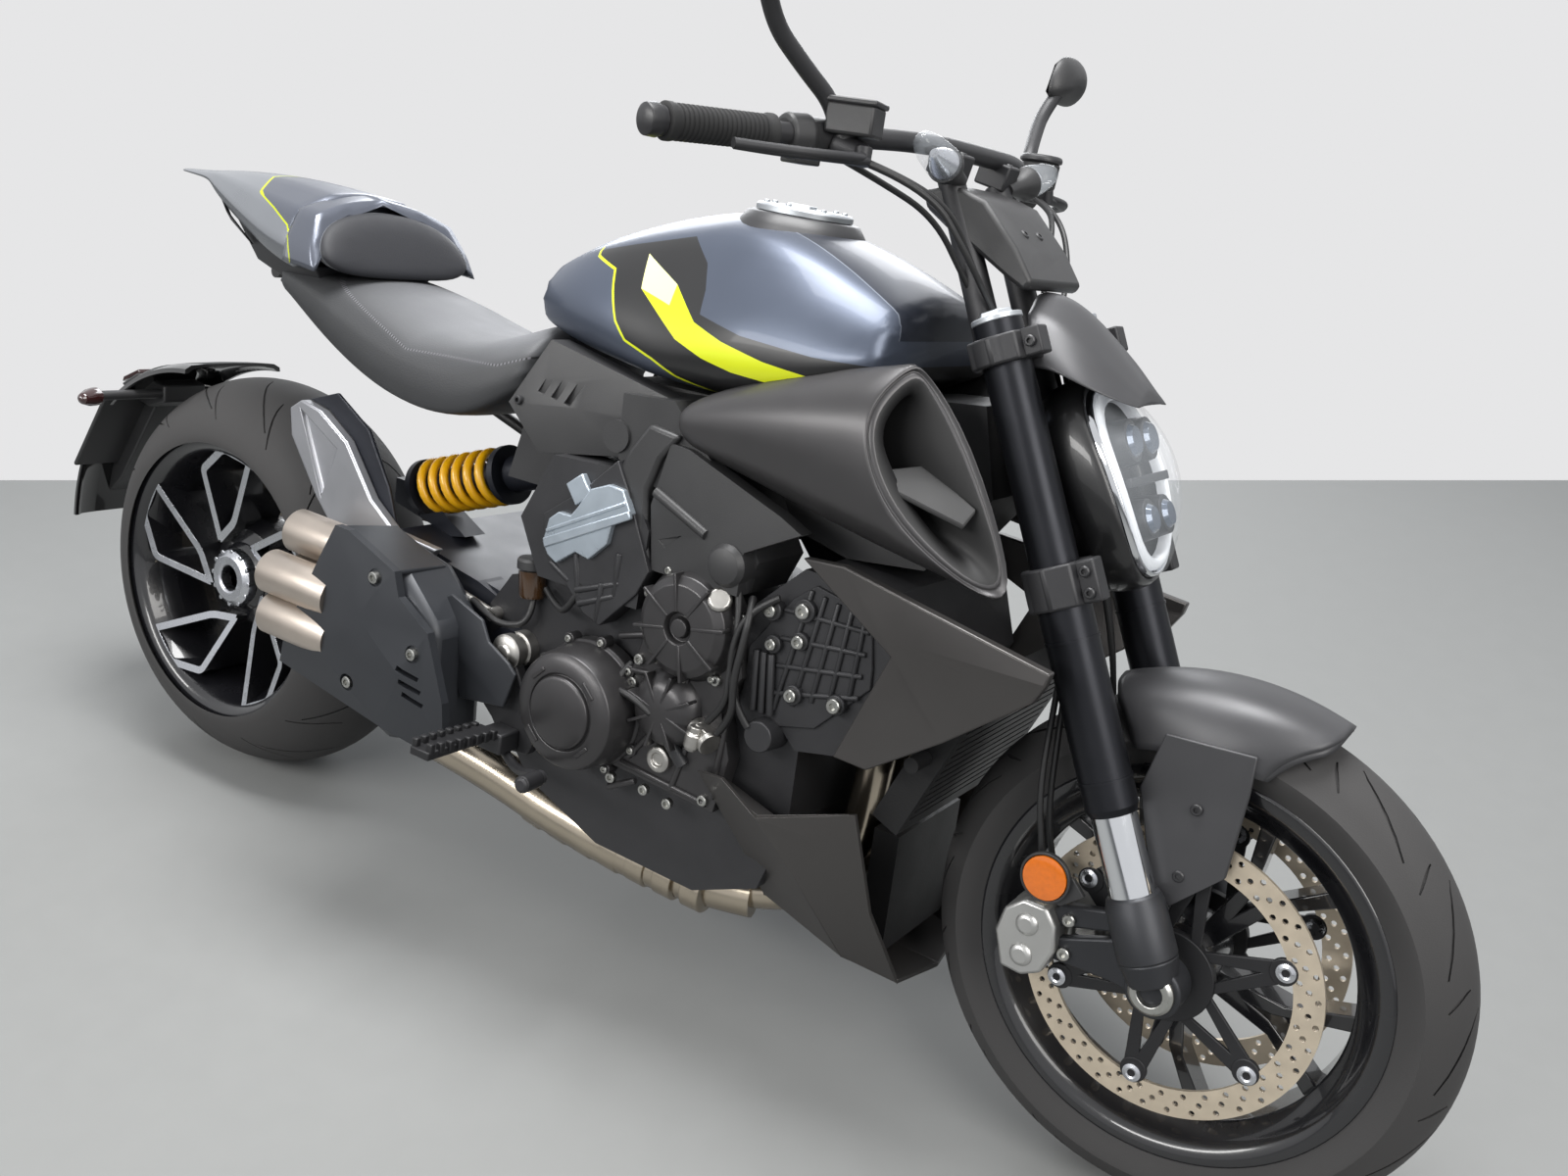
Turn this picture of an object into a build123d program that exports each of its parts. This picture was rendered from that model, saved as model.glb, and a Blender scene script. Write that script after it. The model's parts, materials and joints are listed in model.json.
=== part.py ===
from build123d import *
from math import asin, atan2, cos, degrees, radians, sin, tan
import os

# A muscular power cruiser with a V4 engine, a single-sided swingarm and a four-outlet silencer.
# It is drawn upright in millimetres, with +X forward, +Y to its left and +Z up, the ground at
# z = 0 and the rear axle over x = 0. At the end it leans to its left onto its side stand.

# Chassis layout
WHEELBASE = 1593.0
RAKE = 26.0
TRAIL = 112.0
LEAN = 13.0

# Tyres and wheels
REAR_R = 324.0
REAR_WIDTH = 240.0
REAR_CROWN_R = 125.0
REAR_SEAT_R = 219.0
REAR_RIM_WIDTH = 222.0
FRONT_R = 300.0
FRONT_WIDTH = 122.0
FRONT_CROWN_R = 60.0
FRONT_SEAT_R = 216.0
FRONT_RIM_WIDTH = 102.0
RIM_FLANGE = 15.0
RIM_WALL = 9.0
STAND_BORE_R = 20.5
SPOKE_COUNT = 5

# Brakes
FRONT_DISC_R = 165.0
FRONT_DISC_Y = 68.0
FRONT_DISC_T = 5.0
BOBBIN_COUNT = 6
BOBBIN_R = 112.0
REAR_DISC_R = 132.5
REAR_DISC_Y = 62.0
REAR_DISC_T = 6.0

# Final drive, on the left
CHAIN_Y = 176.0
CHAIN_WIDTH = 20.0
CHAIN_HEIGHT = 15.0
REAR_SPROCKET_R = 102.0
FRONT_SPROCKET_R = 36.0
SPROCKET_T = 7.0
SPROCKET_TEETH = 42
CHAIN_GAP = 1.0
CHAIN_PITCH = 15.9
CHAIN_WAIST = 3.5

# Front fork
FORK_Y = 110.0
STANCHION_R = 25.0
FRONT_AXLE_R = 17.5
FRONT_AXLE_BORE_R = 13.0
FORK_TUBE_R = 29.0
FORK_TOP_R = 26.0
LOWER_CLAMP_H = 737.0
LOWER_CLAMP_T = 46.0
UPPER_CLAMP_H = 1000.0
UPPER_CLAMP_T = 30.0
FORK_TOP_H = 1050.0
TUBE_END_H = 536.0
FOOT_TOP_H = 420.0
STEM_R = 19.0
HEAD_TUBE_R = 34.0
CLAMP_GAP = 3.0

# Handlebar
BAR_R = 11.0
GRIP_R = 17.0
BAR_HALF = 430.0

# Rear damper and spring
SHOCK_Y = -48.0
SHOCK_BODY_R = 22.0
SPRING_R = 36.0
SPRING_WIRE_R = 6.0
SPRING_TURNS = 5.5
SPRING_SEAT_T = 10.0
SHOCK_LOW = (372.0, 556.0)
SHOCK_HIGH = (742.0, 686.0)

# Body widths
TANK_HALF = 172.0
SEAT_HALF = 158.0
ENGINE_HALF = 150.0
BANK_HALF = 178.0
FRONT_BANK_HALF = 162.0
RIB_T = 5.0
RIB_H = 5.0

# Radiators and their shrouds
RADIATOR_HALF = 148.0
RADIATOR_TAB_X = 1300.0
FIN_COUNT = 14
FIN_DEPTH = 6.0
SHROUD_Y = 4.0
SHROUD_SLOPE = -0.16
SHROUD_T = 22.0

# Filler
CAP_X = 948.0
CAP_Z = 1036.0
CAP_R = 44.0
NECK_R = 34.0
NECK_DEPTH = 68.0

# Side stand
STAND_R = 13.0
STAND_REACH = 288.0
STAND_FORWARD = 58.0
STAND_SWING = 105.0
STAND_PLATE_T = 12.0
STAND_BOSS_REACH = 34.0
STAND_EYE_R = 20.0
PAD_R = 24.0
PAD_T = 8.0

# Running clearances
FIT = 0.3
RUNNING_GAP = 0.05

# Points that several pieces share
REAR_AXLE = Vector(0, 0, REAR_R)
FRONT_AXLE = Vector(WHEELBASE, 0, FRONT_R)
UP = Vector(-sin(radians(RAKE)), 0, cos(radians(RAKE)))
AHEAD = Vector(cos(radians(RAKE)), 0, sin(radians(RAKE)))
STEER_GROUND = Vector(WHEELBASE + TRAIL, 0, 0)
FORK_OFFSET = (FRONT_AXLE - STEER_GROUND).dot(AHEAD)
AXLE_H = (FRONT_AXLE - STEER_GROUND).dot(UP)
PIVOT = Vector(688, 0, 418)
CAP_HINGE = Vector(CAP_X + CAP_R + 3, 0, CAP_Z + 6)


def ground_height(x, y):
    """The floor under the leaning machine, as a height in the upright frame."""
    lean = radians(LEAN)
    rear = -REAR_CROWN_R * (1 - cos(lean))
    front = -FRONT_CROWN_R * (1 - cos(lean))
    return y * tan(lean) + (rear + (front - rear) * x / WHEELBASE) / cos(lean)


STAND_PIVOT = Vector(712, ENGINE_HALF + STAND_PLATE_T + STAND_BOSS_REACH, 236)
PAD_X = STAND_PIVOT.X + STAND_FORWARD
STAND_PAD = Vector(PAD_X, STAND_REACH, ground_height(PAD_X, STAND_REACH))
STAND_FOLDED = Vector(-0.985, 0.12, 0.12)
STAND_AXIS = (STAND_PAD - STAND_PIVOT).cross(STAND_FOLDED).normalized()


def on_fork(height, ahead=0.0, y=0.0):
    """A point given by its height along the steering axis and its distance ahead of it."""
    return STEER_GROUND + UP * height + AHEAD * ahead + Vector(0, y, 0)


def outline(points):
    """A flat face through the given corners."""
    return Face(Wire.make_polygon([Vector(*p) for p in points], close=True))


def slab(points_xz, y_low, y_high):
    """A side outline in x and z, given its thickness across the machine."""
    face = outline([(x, y_low, z) for x, z in points_xz])
    return extrude(face, amount=y_high - y_low, dir=(0, 1, 0))


def sheet(points_xz, y_at_zero, slope, thickness):
    """A flat panel whose y grows in step with x, given its thickness towards the middle."""
    face = outline([(x, y_at_zero + slope * x, z) for x, z in points_xz])
    inward = 1 if y_at_zero + slope * points_xz[0][0] < 0 else -1
    return extrude(face, amount=thickness, dir=(0, inward, 0))


def cylinder(start, end, radius, end_radius=None):
    """A round bar or, with a second radius, a cone between two points."""
    run = Vector(end) - Vector(start)
    base = Plane(origin=start, z_dir=run)
    if end_radius is None:
        return Solid.make_cylinder(radius, run.length, base)
    return Solid.make_cone(radius, end_radius, run.length, base)


def bent_tube(points, radius, bend, bore=0.0):
    """A tube along straight runs joined by tangent arcs."""
    path = FilletPolyline(*points, radius=bend)
    ring = Circle(radius) - Circle(bore) if bore else Circle(radius)
    return sweep(Plane(origin=path @ 0, z_dir=path % 0) * ring, path=path)


def lathe(points_yr, centre, arc=360.0, start=0.0):
    """A profile in y and radius, turned about an axle that lies along y."""
    face = outline([(centre.X, y, centre.Z + r) for y, r in points_yr])
    axis = Axis(centre, (0, 1, 0))
    return revolve(face, axis, arc).rotate(axis, start)


def rib_loft(stations, ruled=True):
    """A body lofted along x through half sections in y and z, mirrored about the middle."""
    faces = []
    for x, half in stations:
        other = [(-y, z) for y, z in reversed(half) if y > 0]
        faces.append(outline([(x, y, z) for y, z in half + other]))
    return loft(faces, ruled=ruled)


def smooth_face(half):
    """A round section whose one half runs through the points, from its lowest to its highest."""
    side = Spline(*half, tangents=[(0, 1, 0), (0, -1, 0)])
    return Face(Wire([side, side.mirror(Plane.XZ)]))


def smooth_loft(stations):
    """A moulded body along x through round half sections in y and z."""
    return loft([smooth_face([Vector(x, y, z) for y, z in half]) for x, half in stations])


def fork_loft(stations):
    """A moulded body ahead of the steering axis through round half sections in y and height."""
    return loft([smooth_face([on_fork(h, ahead, y) for y, h in half]) for ahead, half in stations])


def both_sides(piece):
    """The piece and its mirror image on the other side."""
    return [piece, mirror(piece, Plane.XZ)]


def polar(radius, angle):
    return radius * cos(radians(angle)), radius * sin(radians(angle))


def fuse(*pieces):
    whole = pieces[0]
    for piece in pieces[1:]:
        whole = whole + piece
    return whole


def solids_of(piece):
    if isinstance(piece, (list, tuple)):
        return [s for p in piece for s in solids_of(p)]
    return list(piece.solids())


def tyre(centre, radius, width, crown_r, seat_r, rim_width):
    """A tyre with a round crown, drawn as flats that touch the ground at the lean angle."""
    half = LEAN / 2
    steps = [half, 3 * half, 54.0]
    crown = [(crown_r / cos(radians(half)) * sin(radians(a)), a) for a in steps]
    crown = [(y, radius - crown_r + crown_r / cos(radians(half)) * cos(radians(a))) for y, a in crown]
    wall = [(width / 2, radius - crown_r * 0.74), (rim_width / 2 - RIM_WALL, seat_r)]
    right = [(-y, r) for y, r in crown + wall]
    return lathe(crown + wall + right[::-1], centre)


def rim_barrel(centre, seat_r, width):
    """The rim: two flanges, two bead seats and a dropped centre."""
    edge, seat, well = width / 2, width / 2 - RIM_WALL, width / 4
    outer = [(edge, seat_r + RIM_FLANGE), (seat, seat_r), (well, seat_r - 20)]
    inner = [(well, seat_r - 20 - RIM_WALL), (edge - 6, seat_r - RIM_WALL)]
    profile = outer + [(-y, r) for y, r in outer[::-1]]
    profile += [(-y, r) for y, r in inner[::-1]] + inner
    return lathe(profile, centre)


def spoke_loop(centre, corners, wall, y_low, y_high):
    """One hollow spoke: a five-cornered loop with an open window."""
    ring = Wire.make_polygon([Vector(centre.X + a, y_low, centre.Z + b) for a, b in corners], close=True)
    outer = Face(ring)
    inner = Face(ring.offset_2d(-wall, kind=Kind.INTERSECTION))
    if inner.area > outer.area:
        inner, outer = outer, Face(ring.offset_2d(wall, kind=Kind.INTERSECTION))
    return extrude(outer, amount=y_high - y_low, dir=(0, 1, 0)) - extrude(
        inner, amount=y_high - y_low, dir=(0, 1, 0)
    )


def rear_wheel():
    """The rear wheel, open on the right and carried from the left."""
    barrel = rim_barrel(REAR_AXLE, REAR_SEAT_R, REAR_RIM_WIDTH)
    face_y, back_y = -112.0, -20.0
    hub = lathe([(-66, 30), (-66, 52), (-30, 70), (30, 70), (50, 60), (50, 30)], REAR_AXLE)
    dish = lathe(
        [(-58, 48), (-100, REAR_SEAT_R - 4), (-66, REAR_SEAT_R - 14), (-22, 60), (-22, 48)], REAR_AXLE
    )
    shape = [polar(222, 91), polar(222, 73), polar(86, 93), polar(62, 140), polar(186, 112)]
    loops = None
    for n in range(SPOKE_COUNT):
        loop = spoke_loop(REAR_AXLE, shape, 11.0, face_y, back_y)
        loop = loop.rotate(Axis(REAR_AXLE, (0, 1, 0)), n * 360 / SPOKE_COUNT)
        loops = loop if loops is None else loops + loop
    rim = fuse(barrel, hub, loops & dish)
    tyre_body = tyre(REAR_AXLE, REAR_R, REAR_WIDTH, REAR_CROWN_R, REAR_SEAT_R, REAR_RIM_WIDTH)
    disc = lathe(
        [
            (REAR_DISC_Y - REAR_DISC_T / 2, 70),
            (REAR_DISC_Y - REAR_DISC_T / 2, REAR_DISC_R),
            (REAR_DISC_Y + REAR_DISC_T / 2, REAR_DISC_R),
            (REAR_DISC_Y + REAR_DISC_T / 2, 30),
            (50, 30),
            (50, 70),
        ],
        REAR_AXLE,
    )
    root = REAR_SPROCKET_R - 7
    points = []
    for n in range(SPROCKET_TEETH):
        a = n * 360 / SPROCKET_TEETH
        step = 360 / SPROCKET_TEETH
        points += [polar(root, a), polar(REAR_SPROCKET_R, a + step * 0.35), polar(REAR_SPROCKET_R, a + step * 0.65)]
    face = outline([(REAR_AXLE.X + a, CHAIN_Y - SPROCKET_T / 2, REAR_AXLE.Z + b) for a, b in points])
    sprocket = extrude(face, amount=SPROCKET_T, dir=(0, 1, 0))
    for n in range(5):
        a, b = polar(70, 72 * n)
        hole = (REAR_AXLE.X + a, CHAIN_Y - SPROCKET_T, REAR_AXLE.Z + b)
        sprocket -= cylinder(hole, (hole[0], CHAIN_Y + SPROCKET_T, hole[2]), 15)
    shaft_y = REAR_DISC_Y + REAR_DISC_T / 2
    end_y = CHAIN_Y + 26
    shaft = lathe([(shaft_y, 10), (shaft_y, 32), (end_y, 32), (end_y, 10)], REAR_AXLE)
    bore = lathe([(-80, 0), (-80, STAND_BORE_R), (230, STAND_BORE_R), (230, 0)], REAR_AXLE)
    sprocket = (sprocket + shaft) - bore
    return {
        "rear_rim": rim,
        "rear_tyre": tyre_body,
        "rear_disc": disc - shaft,
        "rear_sprocket": sprocket,
    }


def front_wheel():
    """The front wheel: five spokes that fork at the rim, and two drilled discs on black carriers."""
    barrel = rim_barrel(FRONT_AXLE, FRONT_SEAT_R, FRONT_RIM_WIDTH)
    bore = FRONT_AXLE_R + RUNNING_GAP
    hub = lathe([(-60, bore), (-60, 40), (-30, 46), (30, 46), (60, 40), (60, bore)], FRONT_AXLE)
    dish = lathe(
        [(-34, 40), (-38, FRONT_SEAT_R - 14), (38, FRONT_SEAT_R - 14), (34, 40)], FRONT_AXLE
    )
    spokes = None
    first_angle, split, wide = -14.5, 15.5, 8.0
    for n in range(SPOKE_COUNT):
        mid = first_angle + n * 360 / SPOKE_COUNT
        for side in (-1, 1):
            points = [
                polar(38, mid - side * 14),
                polar(38, mid + side * 16),
                polar(120, mid + side * 9.5),
                polar(212, mid + side * (split + 3)),
                polar(212, mid + side * (split - 2)),
                polar(112, mid + side * 2.5),
            ]
            arm = slab([(FRONT_AXLE.X + a, FRONT_AXLE.Z + b) for a, b in points], -17, 17)
            spokes = arm if spokes is None else spokes + arm
    rim = fuse(barrel, hub, spokes & dish)
    tyre_body = tyre(FRONT_AXLE, FRONT_R, FRONT_WIDTH, FRONT_CROWN_R, FRONT_SEAT_R, FRONT_RIM_WIDTH)
    inner, t = FRONT_DISC_Y - FRONT_DISC_T / 2, FRONT_DISC_T
    ring = lathe([(inner, 133), (inner, FRONT_DISC_R), (inner + t, FRONT_DISC_R), (inner + t, 133)], FRONT_AXLE)
    carrier_ring = lathe([(60, 30), (60, 50), (inner + t, 50), (inner + t, 30)], FRONT_AXLE)
    disc = fuse(ring, carrier_ring)
    for n in range(BOBBIN_COUNT):
        a = 25 + n * 360 / BOBBIN_COUNT
        arm = [polar(44, a - 26), polar(44, a + 26), polar(BOBBIN_R + 24, a + 5), polar(BOBBIN_R + 24, a - 5)]
        window = [polar(56, a - 10), polar(56, a + 10), polar(88, a + 4), polar(88, a - 4)]
        place = [[(FRONT_AXLE.X + x, FRONT_AXLE.Z + z) for x, z in shape] for shape in (arm, window)]
        disc += slab(place[0], inner, inner + t) - slab(place[1], inner, inner + t)
    return {
        "front_rim": rim,
        "front_tyre": tyre_body,
        "front_discs": both_sides(disc),
    }


def chain_loop():
    """The drive chain: one closed loop round both sprockets, open between its inner faces."""
    front = Vector(PIVOT.X - 46, 0, PIVOT.Z + 6)
    rear = REAR_AXLE
    run = (front - rear).length
    lift = degrees(asin((REAR_SPROCKET_R - FRONT_SPROCKET_R) / run))
    tilt = degrees(atan2(front.Z - rear.Z, front.X - rear.X))

    def band(extra):
        big, small = REAR_SPROCKET_R + extra, FRONT_SPROCKET_R + extra
        top = radians(tilt + 90 - lift)
        low = radians(tilt - 90 + lift)
        y = CHAIN_Y - CHAIN_WIDTH / 2
        spots = []
        for centre, r, angles in (
            (rear, big, (top, radians(tilt + 180), low)),
            (front, small, (low, radians(tilt), top)),
        ):
            spots += [Vector(centre.X + r * cos(a), y, centre.Z + r * sin(a)) for a in angles]
        edges = [
            ThreePointArc(*spots[:3]),
            Line(spots[2], spots[3]),
            ThreePointArc(*spots[3:]),
            Line(spots[5], spots[0]),
        ]
        return Face(Wire(edges))

    loop = extrude(band(CHAIN_GAP + CHAIN_HEIGHT), amount=CHAIN_WIDTH, dir=(0, 1, 0))
    loop -= extrude(band(CHAIN_GAP), amount=CHAIN_WIDTH, dir=(0, 1, 0))
    return loop - chain_notches(rear, front, lift, tilt)


def chain_notches(rear, front, lift, tilt):
    """The waists between the links, along both straight runs of the chain."""
    notches = []
    reach = (front - rear).length * cos(radians(lift))
    count = int(reach / CHAIN_PITCH) - 1
    for side in (-1, 1):
        turn = radians(tilt - side * lift)
        along = Vector(cos(turn), 0, sin(turn))
        out = Vector(-sin(turn), 0, cos(turn)) * side
        edge = rear + out * (REAR_SPROCKET_R + CHAIN_GAP + CHAIN_HEIGHT)
        for n in range(count):
            middle = edge + along * CHAIN_PITCH * (n + 1)
            corners = [middle - along * 3 + out, middle + along * 3 + out, middle - out * CHAIN_WAIST]
            notches.append(slab([(p.X, p.Z) for p in corners], CHAIN_Y - CHAIN_WIDTH, CHAIN_Y + CHAIN_WIDTH))
    return notches


def swingarm():
    """The cast arm on the left, its pivot tube, its right-hand stub and the wheel bearing hub."""
    arm = slab([(-30, 262), (95, 245), (350, 300), (560, 362), (735, 375), (735, 462), (560, 470),
                (330, 430), (95, 405), (-30, 390)], 128, 160)
    arm -= slab([(395, 345), (520, 378), (520, 440), (395, 408)], 120, 170)
    hub = lathe([(72, 40), (72, 84), (160, 84), (160, 40)], REAR_AXLE)
    hub += lathe([(72, 84), (72, 100), (100, 100), (160, 92), (160, 84)], REAR_AXLE)
    pivot = cylinder((PIVOT.X, -168, PIVOT.Z), (PIVOT.X, 160, PIVOT.Z), 34)
    stub = slab([(560, 380), (720, 385), (720, 452), (600, 490), (540, 500)], -140, -96)
    bridge = slab([(420, 452), (640, 446), (650, 480), (430, 520)], -130, 150)
    lug = slab([(470, 512), (352, 536), (352, 572), (392, 572), (500, 518)], -68, -28)
    body = fuse(arm, hub, pivot, stub, bridge, lug)
    shaft_room = lathe([(60, 0), (60, 32 + RUNNING_GAP), (170, 32 + RUNNING_GAP), (170, 0)], REAR_AXLE)
    low = Vector(SHOCK_LOW[0], SHOCK_Y, SHOCK_LOW[1])
    run = (Vector(SHOCK_HIGH[0], SHOCK_Y, SHOCK_HIGH[1]) - low).normalized()
    spring_room = cylinder(low + run * 20, low + run * 204, SPRING_R + SPRING_WIRE_R + FIT)
    return body - shaft_room - spring_room


def swingarm_guard():
    """The cast guard that shows above the silencer, with a recessed triangle."""
    shape = [(224, 640), (236, 668), (268, 668), (348, 626), (420, 560), (536, 530), (590, 486), (545, 462),
             (440, 492), (308, 528), (262, 580)]
    panel = slab(shape, -158, -132)
    recess = slab([(250, 640), (330, 612), (300, 548)], -160, -150)
    return panel - recess


def shock():
    """The rear damper, lying forward between the arm and the frame, with its coil spring."""
    low = Vector(SHOCK_LOW[0], SHOCK_Y, SHOCK_LOW[1])
    high = Vector(SHOCK_HIGH[0], SHOCK_Y, SHOCK_HIGH[1])
    run = (high - low).normalized()
    seat_low, seat_high = 34, 190
    body = fuse(
        cylinder(low, low + run * 60, 15),
        cylinder(low + run * 50, low + run * 215, SHOCK_BODY_R),
        cylinder(low + run * 205, high, 26),
        cylinder(low + run * (seat_low - SPRING_SEAT_T), low + run * seat_low, SPRING_R + SPRING_WIRE_R),
        cylinder(low + run * seat_high, low + run * (seat_high + SPRING_SEAT_T), SPRING_R + SPRING_WIRE_R),
    )
    height = seat_high - seat_low - 2 * (SPRING_WIRE_R + FIT)
    coil = Helix(pitch=height / SPRING_TURNS, height=height, radius=SPRING_R)
    wire = Plane(origin=coil @ 0, z_dir=coil % 0) * RegularPolygon(SPRING_WIRE_R, 6)
    place = Plane(origin=low + run * (seat_low + SPRING_WIRE_R + FIT), z_dir=run)
    return body, place.location * sweep(wire, path=coil, is_frenet=True)


def crankcase():
    outline_xz = [(636, 470), (650, 352), (730, 250), (860, 200), (1020, 196), (1112, 236), (1142, 330),
                  (1140, 440), (1075, 520), (905, 560), (760, 545), (670, 520)]
    case = slab(outline_xz, -ENGINE_HALF, ENGINE_HALF)
    sump = slab([(800, 205), (1020, 200), (990, 150), (840, 150)], -90, 90)
    pivot_room = cylinder((PIVOT.X, -200, PIVOT.Z), (PIVOT.X, 200, PIVOT.Z), 34)
    return fuse(case, sump) - pivot_room


def cylinder_banks():
    rear = slab([(738, 540), (900, 540), (905, 640), (862, 706), (745, 700), (700, 610)], -BANK_HALF, BANK_HALF)
    front = slab([(1060, 505), (1142, 432), (1216, 448), (1258, 540), (1222, 640), (1120, 648), (1030, 560)],
                 -FRONT_BANK_HALF, FRONT_BANK_HALF)
    return [rear, front]


def ribbed_cover(centre, hub_r, rim_r, y_in, y_out, count):
    """A round cover on the right of the engine, with low ribs from its hub to its rim."""
    cover = lathe([(y_in, 0), (y_in, rim_r), (y_out + 14, rim_r), (y_out, rim_r - 12), (y_out, 0)], centre)
    for n in range(count):
        a, b = polar((hub_r + rim_r) / 2, n * 360 / count)
        rib = slab([(centre.X - (rim_r - hub_r) / 2, centre.Z - RIB_T / 2), (centre.X + (rim_r - hub_r) / 2, centre.Z - RIB_T / 2),
                    (centre.X + (rim_r - hub_r) / 2, centre.Z + RIB_T / 2),
                    (centre.X - (rim_r - hub_r) / 2, centre.Z + RIB_T / 2)], y_out - RIB_H, y_out + 2)
        rib = rib.rotate(Axis(centre, (0, 1, 0)), -n * 360 / count).translate((a, 0, b))
        cover += rib & lathe([(y_in, 0), (y_in, rim_r - 6), (y_out - RIB_H, rim_r - 14), (y_out - RIB_H, 0)], centre)
    return cover


def engine_covers():
    clutch = lathe([(-150, 0), (-150, 84), (-166, 84), (-172, 76), (-222, 72), (-236, 60), (-236, 0)],
                   Vector(844, 0, 404))
    gears = ribbed_cover(Vector(983, 0, 543), 24, 70, -150, -200, 8)
    pump = lathe([(-150, 0), (-150, 52), (-180, 48), (-196, 30), (-196, 0)], Vector(968, 0, 432))
    generator = lathe([(150, 0), (150, 90), (196, 84), (214, 60), (214, 0)], Vector(880, 0, 404))
    sprocket_cover = slab([(600, 372), (700, 372), (745, 420), (720, 492), (610, 492), (580, 440)], 196, 204)
    posts = fuse(*[cylinder((x, 150, z), (x, 197, z), 7) for x, z in ((735, 400), (716, 486))])
    return [clutch, gears, pump, generator, sprocket_cover + posts]


def head_plate():
    shape = [(762, 600), (790, 590), (880, 600), (884, 640), (868, 682), (800, 684), (764, 650)]
    return slab(shape, -BANK_HALF - 14, -BANK_HALF)


def main_frame():
    """The cast front frame: steering head, box under the tank and a leg down each side."""
    head = cylinder(on_fork(LOWER_CLAMP_H + LOWER_CLAMP_T + CLAMP_GAP), on_fork(UPPER_CLAMP_H - CLAMP_GAP), HEAD_TUBE_R)
    box = slab([(760, 720), (860, 706), (1120, 648), (1222, 660), (1290, 760), (1262, 860), (1160, 850), (900, 800),
                (770, 800)], -70, 70)
    leg_shape = [(835, 795), (912, 800), (1020, 700), (1060, 640), (1042, 596), (990, 596), (905, 690), (838, 715)]
    legs = both_sides(slab(leg_shape, -168, -70))
    boss = both_sides(cylinder((833, -172, 742), (833, -90, 742), 20))
    bore = cylinder(on_fork(LOWER_CLAMP_H), on_fork(UPPER_CLAMP_H + 50), STEM_R + RUNNING_GAP)
    return fuse(head, box, *legs, *boss) - bore


def stand_bracket():
    """The plate low on the left of the crankcase that carries the side stand."""
    shape = [(668, 330), (668, 262), (690, 205), (742, 200), (770, 260), (770, 330)]
    plate = slab(shape, ENGINE_HALF, ENGINE_HALF + STAND_PLATE_T)
    top = STAND_PIVOT - STAND_AXIS * (STAND_R + 1 + FIT)
    return plate + cylinder(top - STAND_AXIS * 1.4 * STAND_BOSS_REACH, top, STAND_EYE_R - 3)


def rear_subframe():
    """The bolted rear frame: two beams under the seat and the grab and footrest bars."""
    pieces = []
    for side in (-1, 1):
        beam = [(800, side * 100, 745), (640, side * 104, 700), (380, side * 84, 722), (60, side * 70, 830)]
        bar = [(660, side * 112, 668), (440, side * 124, 640), (142, side * 112, 735), (96, side * 100, 790),
               (150, side * 78, 812)]
        pieces.append(bent_tube(beam, 12, 60))
        pieces.append(bent_tube(bar, 9, 16))
    for x, z, half in ((640, 700, 104), (250, 764, 76), (60, 830, 70)):
        pieces.append(cylinder((x, -half, z), (x, half, z), 10))
    pieces.append(slab([(620, 640), (700, 640), (760, 700), (800, 760), (640, 715)], -122, 122)
                  - slab([(600, 600), (900, 600), (900, 800), (600, 800)], -96, 96))
    return fuse(*pieces)


def fuel_tank():
    """The tank: narrow at the seat, hollowed for the knees, and wide over the intakes."""
    w = TANK_HALF
    body = smooth_loft([
        (598, [(0, 838), (44, 840), (70, 858), (72, 884), (52, 910), (0, 923)]),
        (660, [(0, 830), (80, 833), (106, 852), (107, 892), (76, 938), (0, 962)]),
        (760, [(0, 817), (104, 818), (134, 842), (132, 892), (84, 970), (0, 1002)]),
        (880, [(0, 807), (120, 808), (152, 832), (138, 900), (92, 996), (0, 1032)]),
        (1000, [(0, 808), (134, 812), (w - 4, 840), (156, 920), (108, 998), (0, 1024)]),
        (1095, [(0, 830), (138, 834), (w, 866), (154, 930), (116, 976), (0, 996)]),
        (1172, [(0, 868), (126, 872), (154, 892), (142, 926), (108, 946), (0, 956)]),
    ])
    collar = cylinder((CAP_X, 0, 990), (CAP_X, 0, CAP_Z), CAP_R + 2)
    neck = cylinder((CAP_X, 0, CAP_Z - NECK_DEPTH), (CAP_X, 0, CAP_Z + 1), NECK_R)
    return body + collar - neck


def fuel_cap():
    """The filler lid with its seal plug and the hinge knuckle at its front edge."""
    base = CAP_Z + FIT
    plate = cylinder((CAP_X, 0, base), (CAP_X, 0, base + 7), CAP_R)
    plug = cylinder((CAP_X, 0, base - 14), (CAP_X, 0, base), NECK_R - 8)
    knuckle = cylinder((CAP_HINGE.X, -12, CAP_HINGE.Z), (CAP_HINGE.X, 12, CAP_HINGE.Z), 4)
    tab = slab([(CAP_X + 20, base), (CAP_HINGE.X, base + 2), (CAP_HINGE.X, base + 7), (CAP_X + 20, base + 7)], -12, 12)
    return fuse(plate, plug, knuckle, tab)


def seat():
    """The rider's deep seat, whose nose laps the back of the tank."""
    w = SEAT_HALF
    return smooth_loft([
        (112, [(0, 806), (84, 808), (110, 826), (100, 854), (0, 866)]),
        (200, [(0, 774), (100, 772), (128, 796), (118, 850), (0, 868)]),
        (290, [(0, 738), (114, 734), (138, 764), (126, 834), (0, 856)]),
        (400, [(0, 710), (134, 706), (w - 3, 740), (138, 802), (0, 815)]),
        (500, [(0, 698), (140, 696), (w, 730), (142, 788), (0, 800)]),
        (560, [(0, 704), (138, 706), (w - 4, 740), (130, 804), (0, 826)]),
        (640, [(0, 760), (116, 759), (140, 774), (106, 828), (0, 858)]),
    ])


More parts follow.
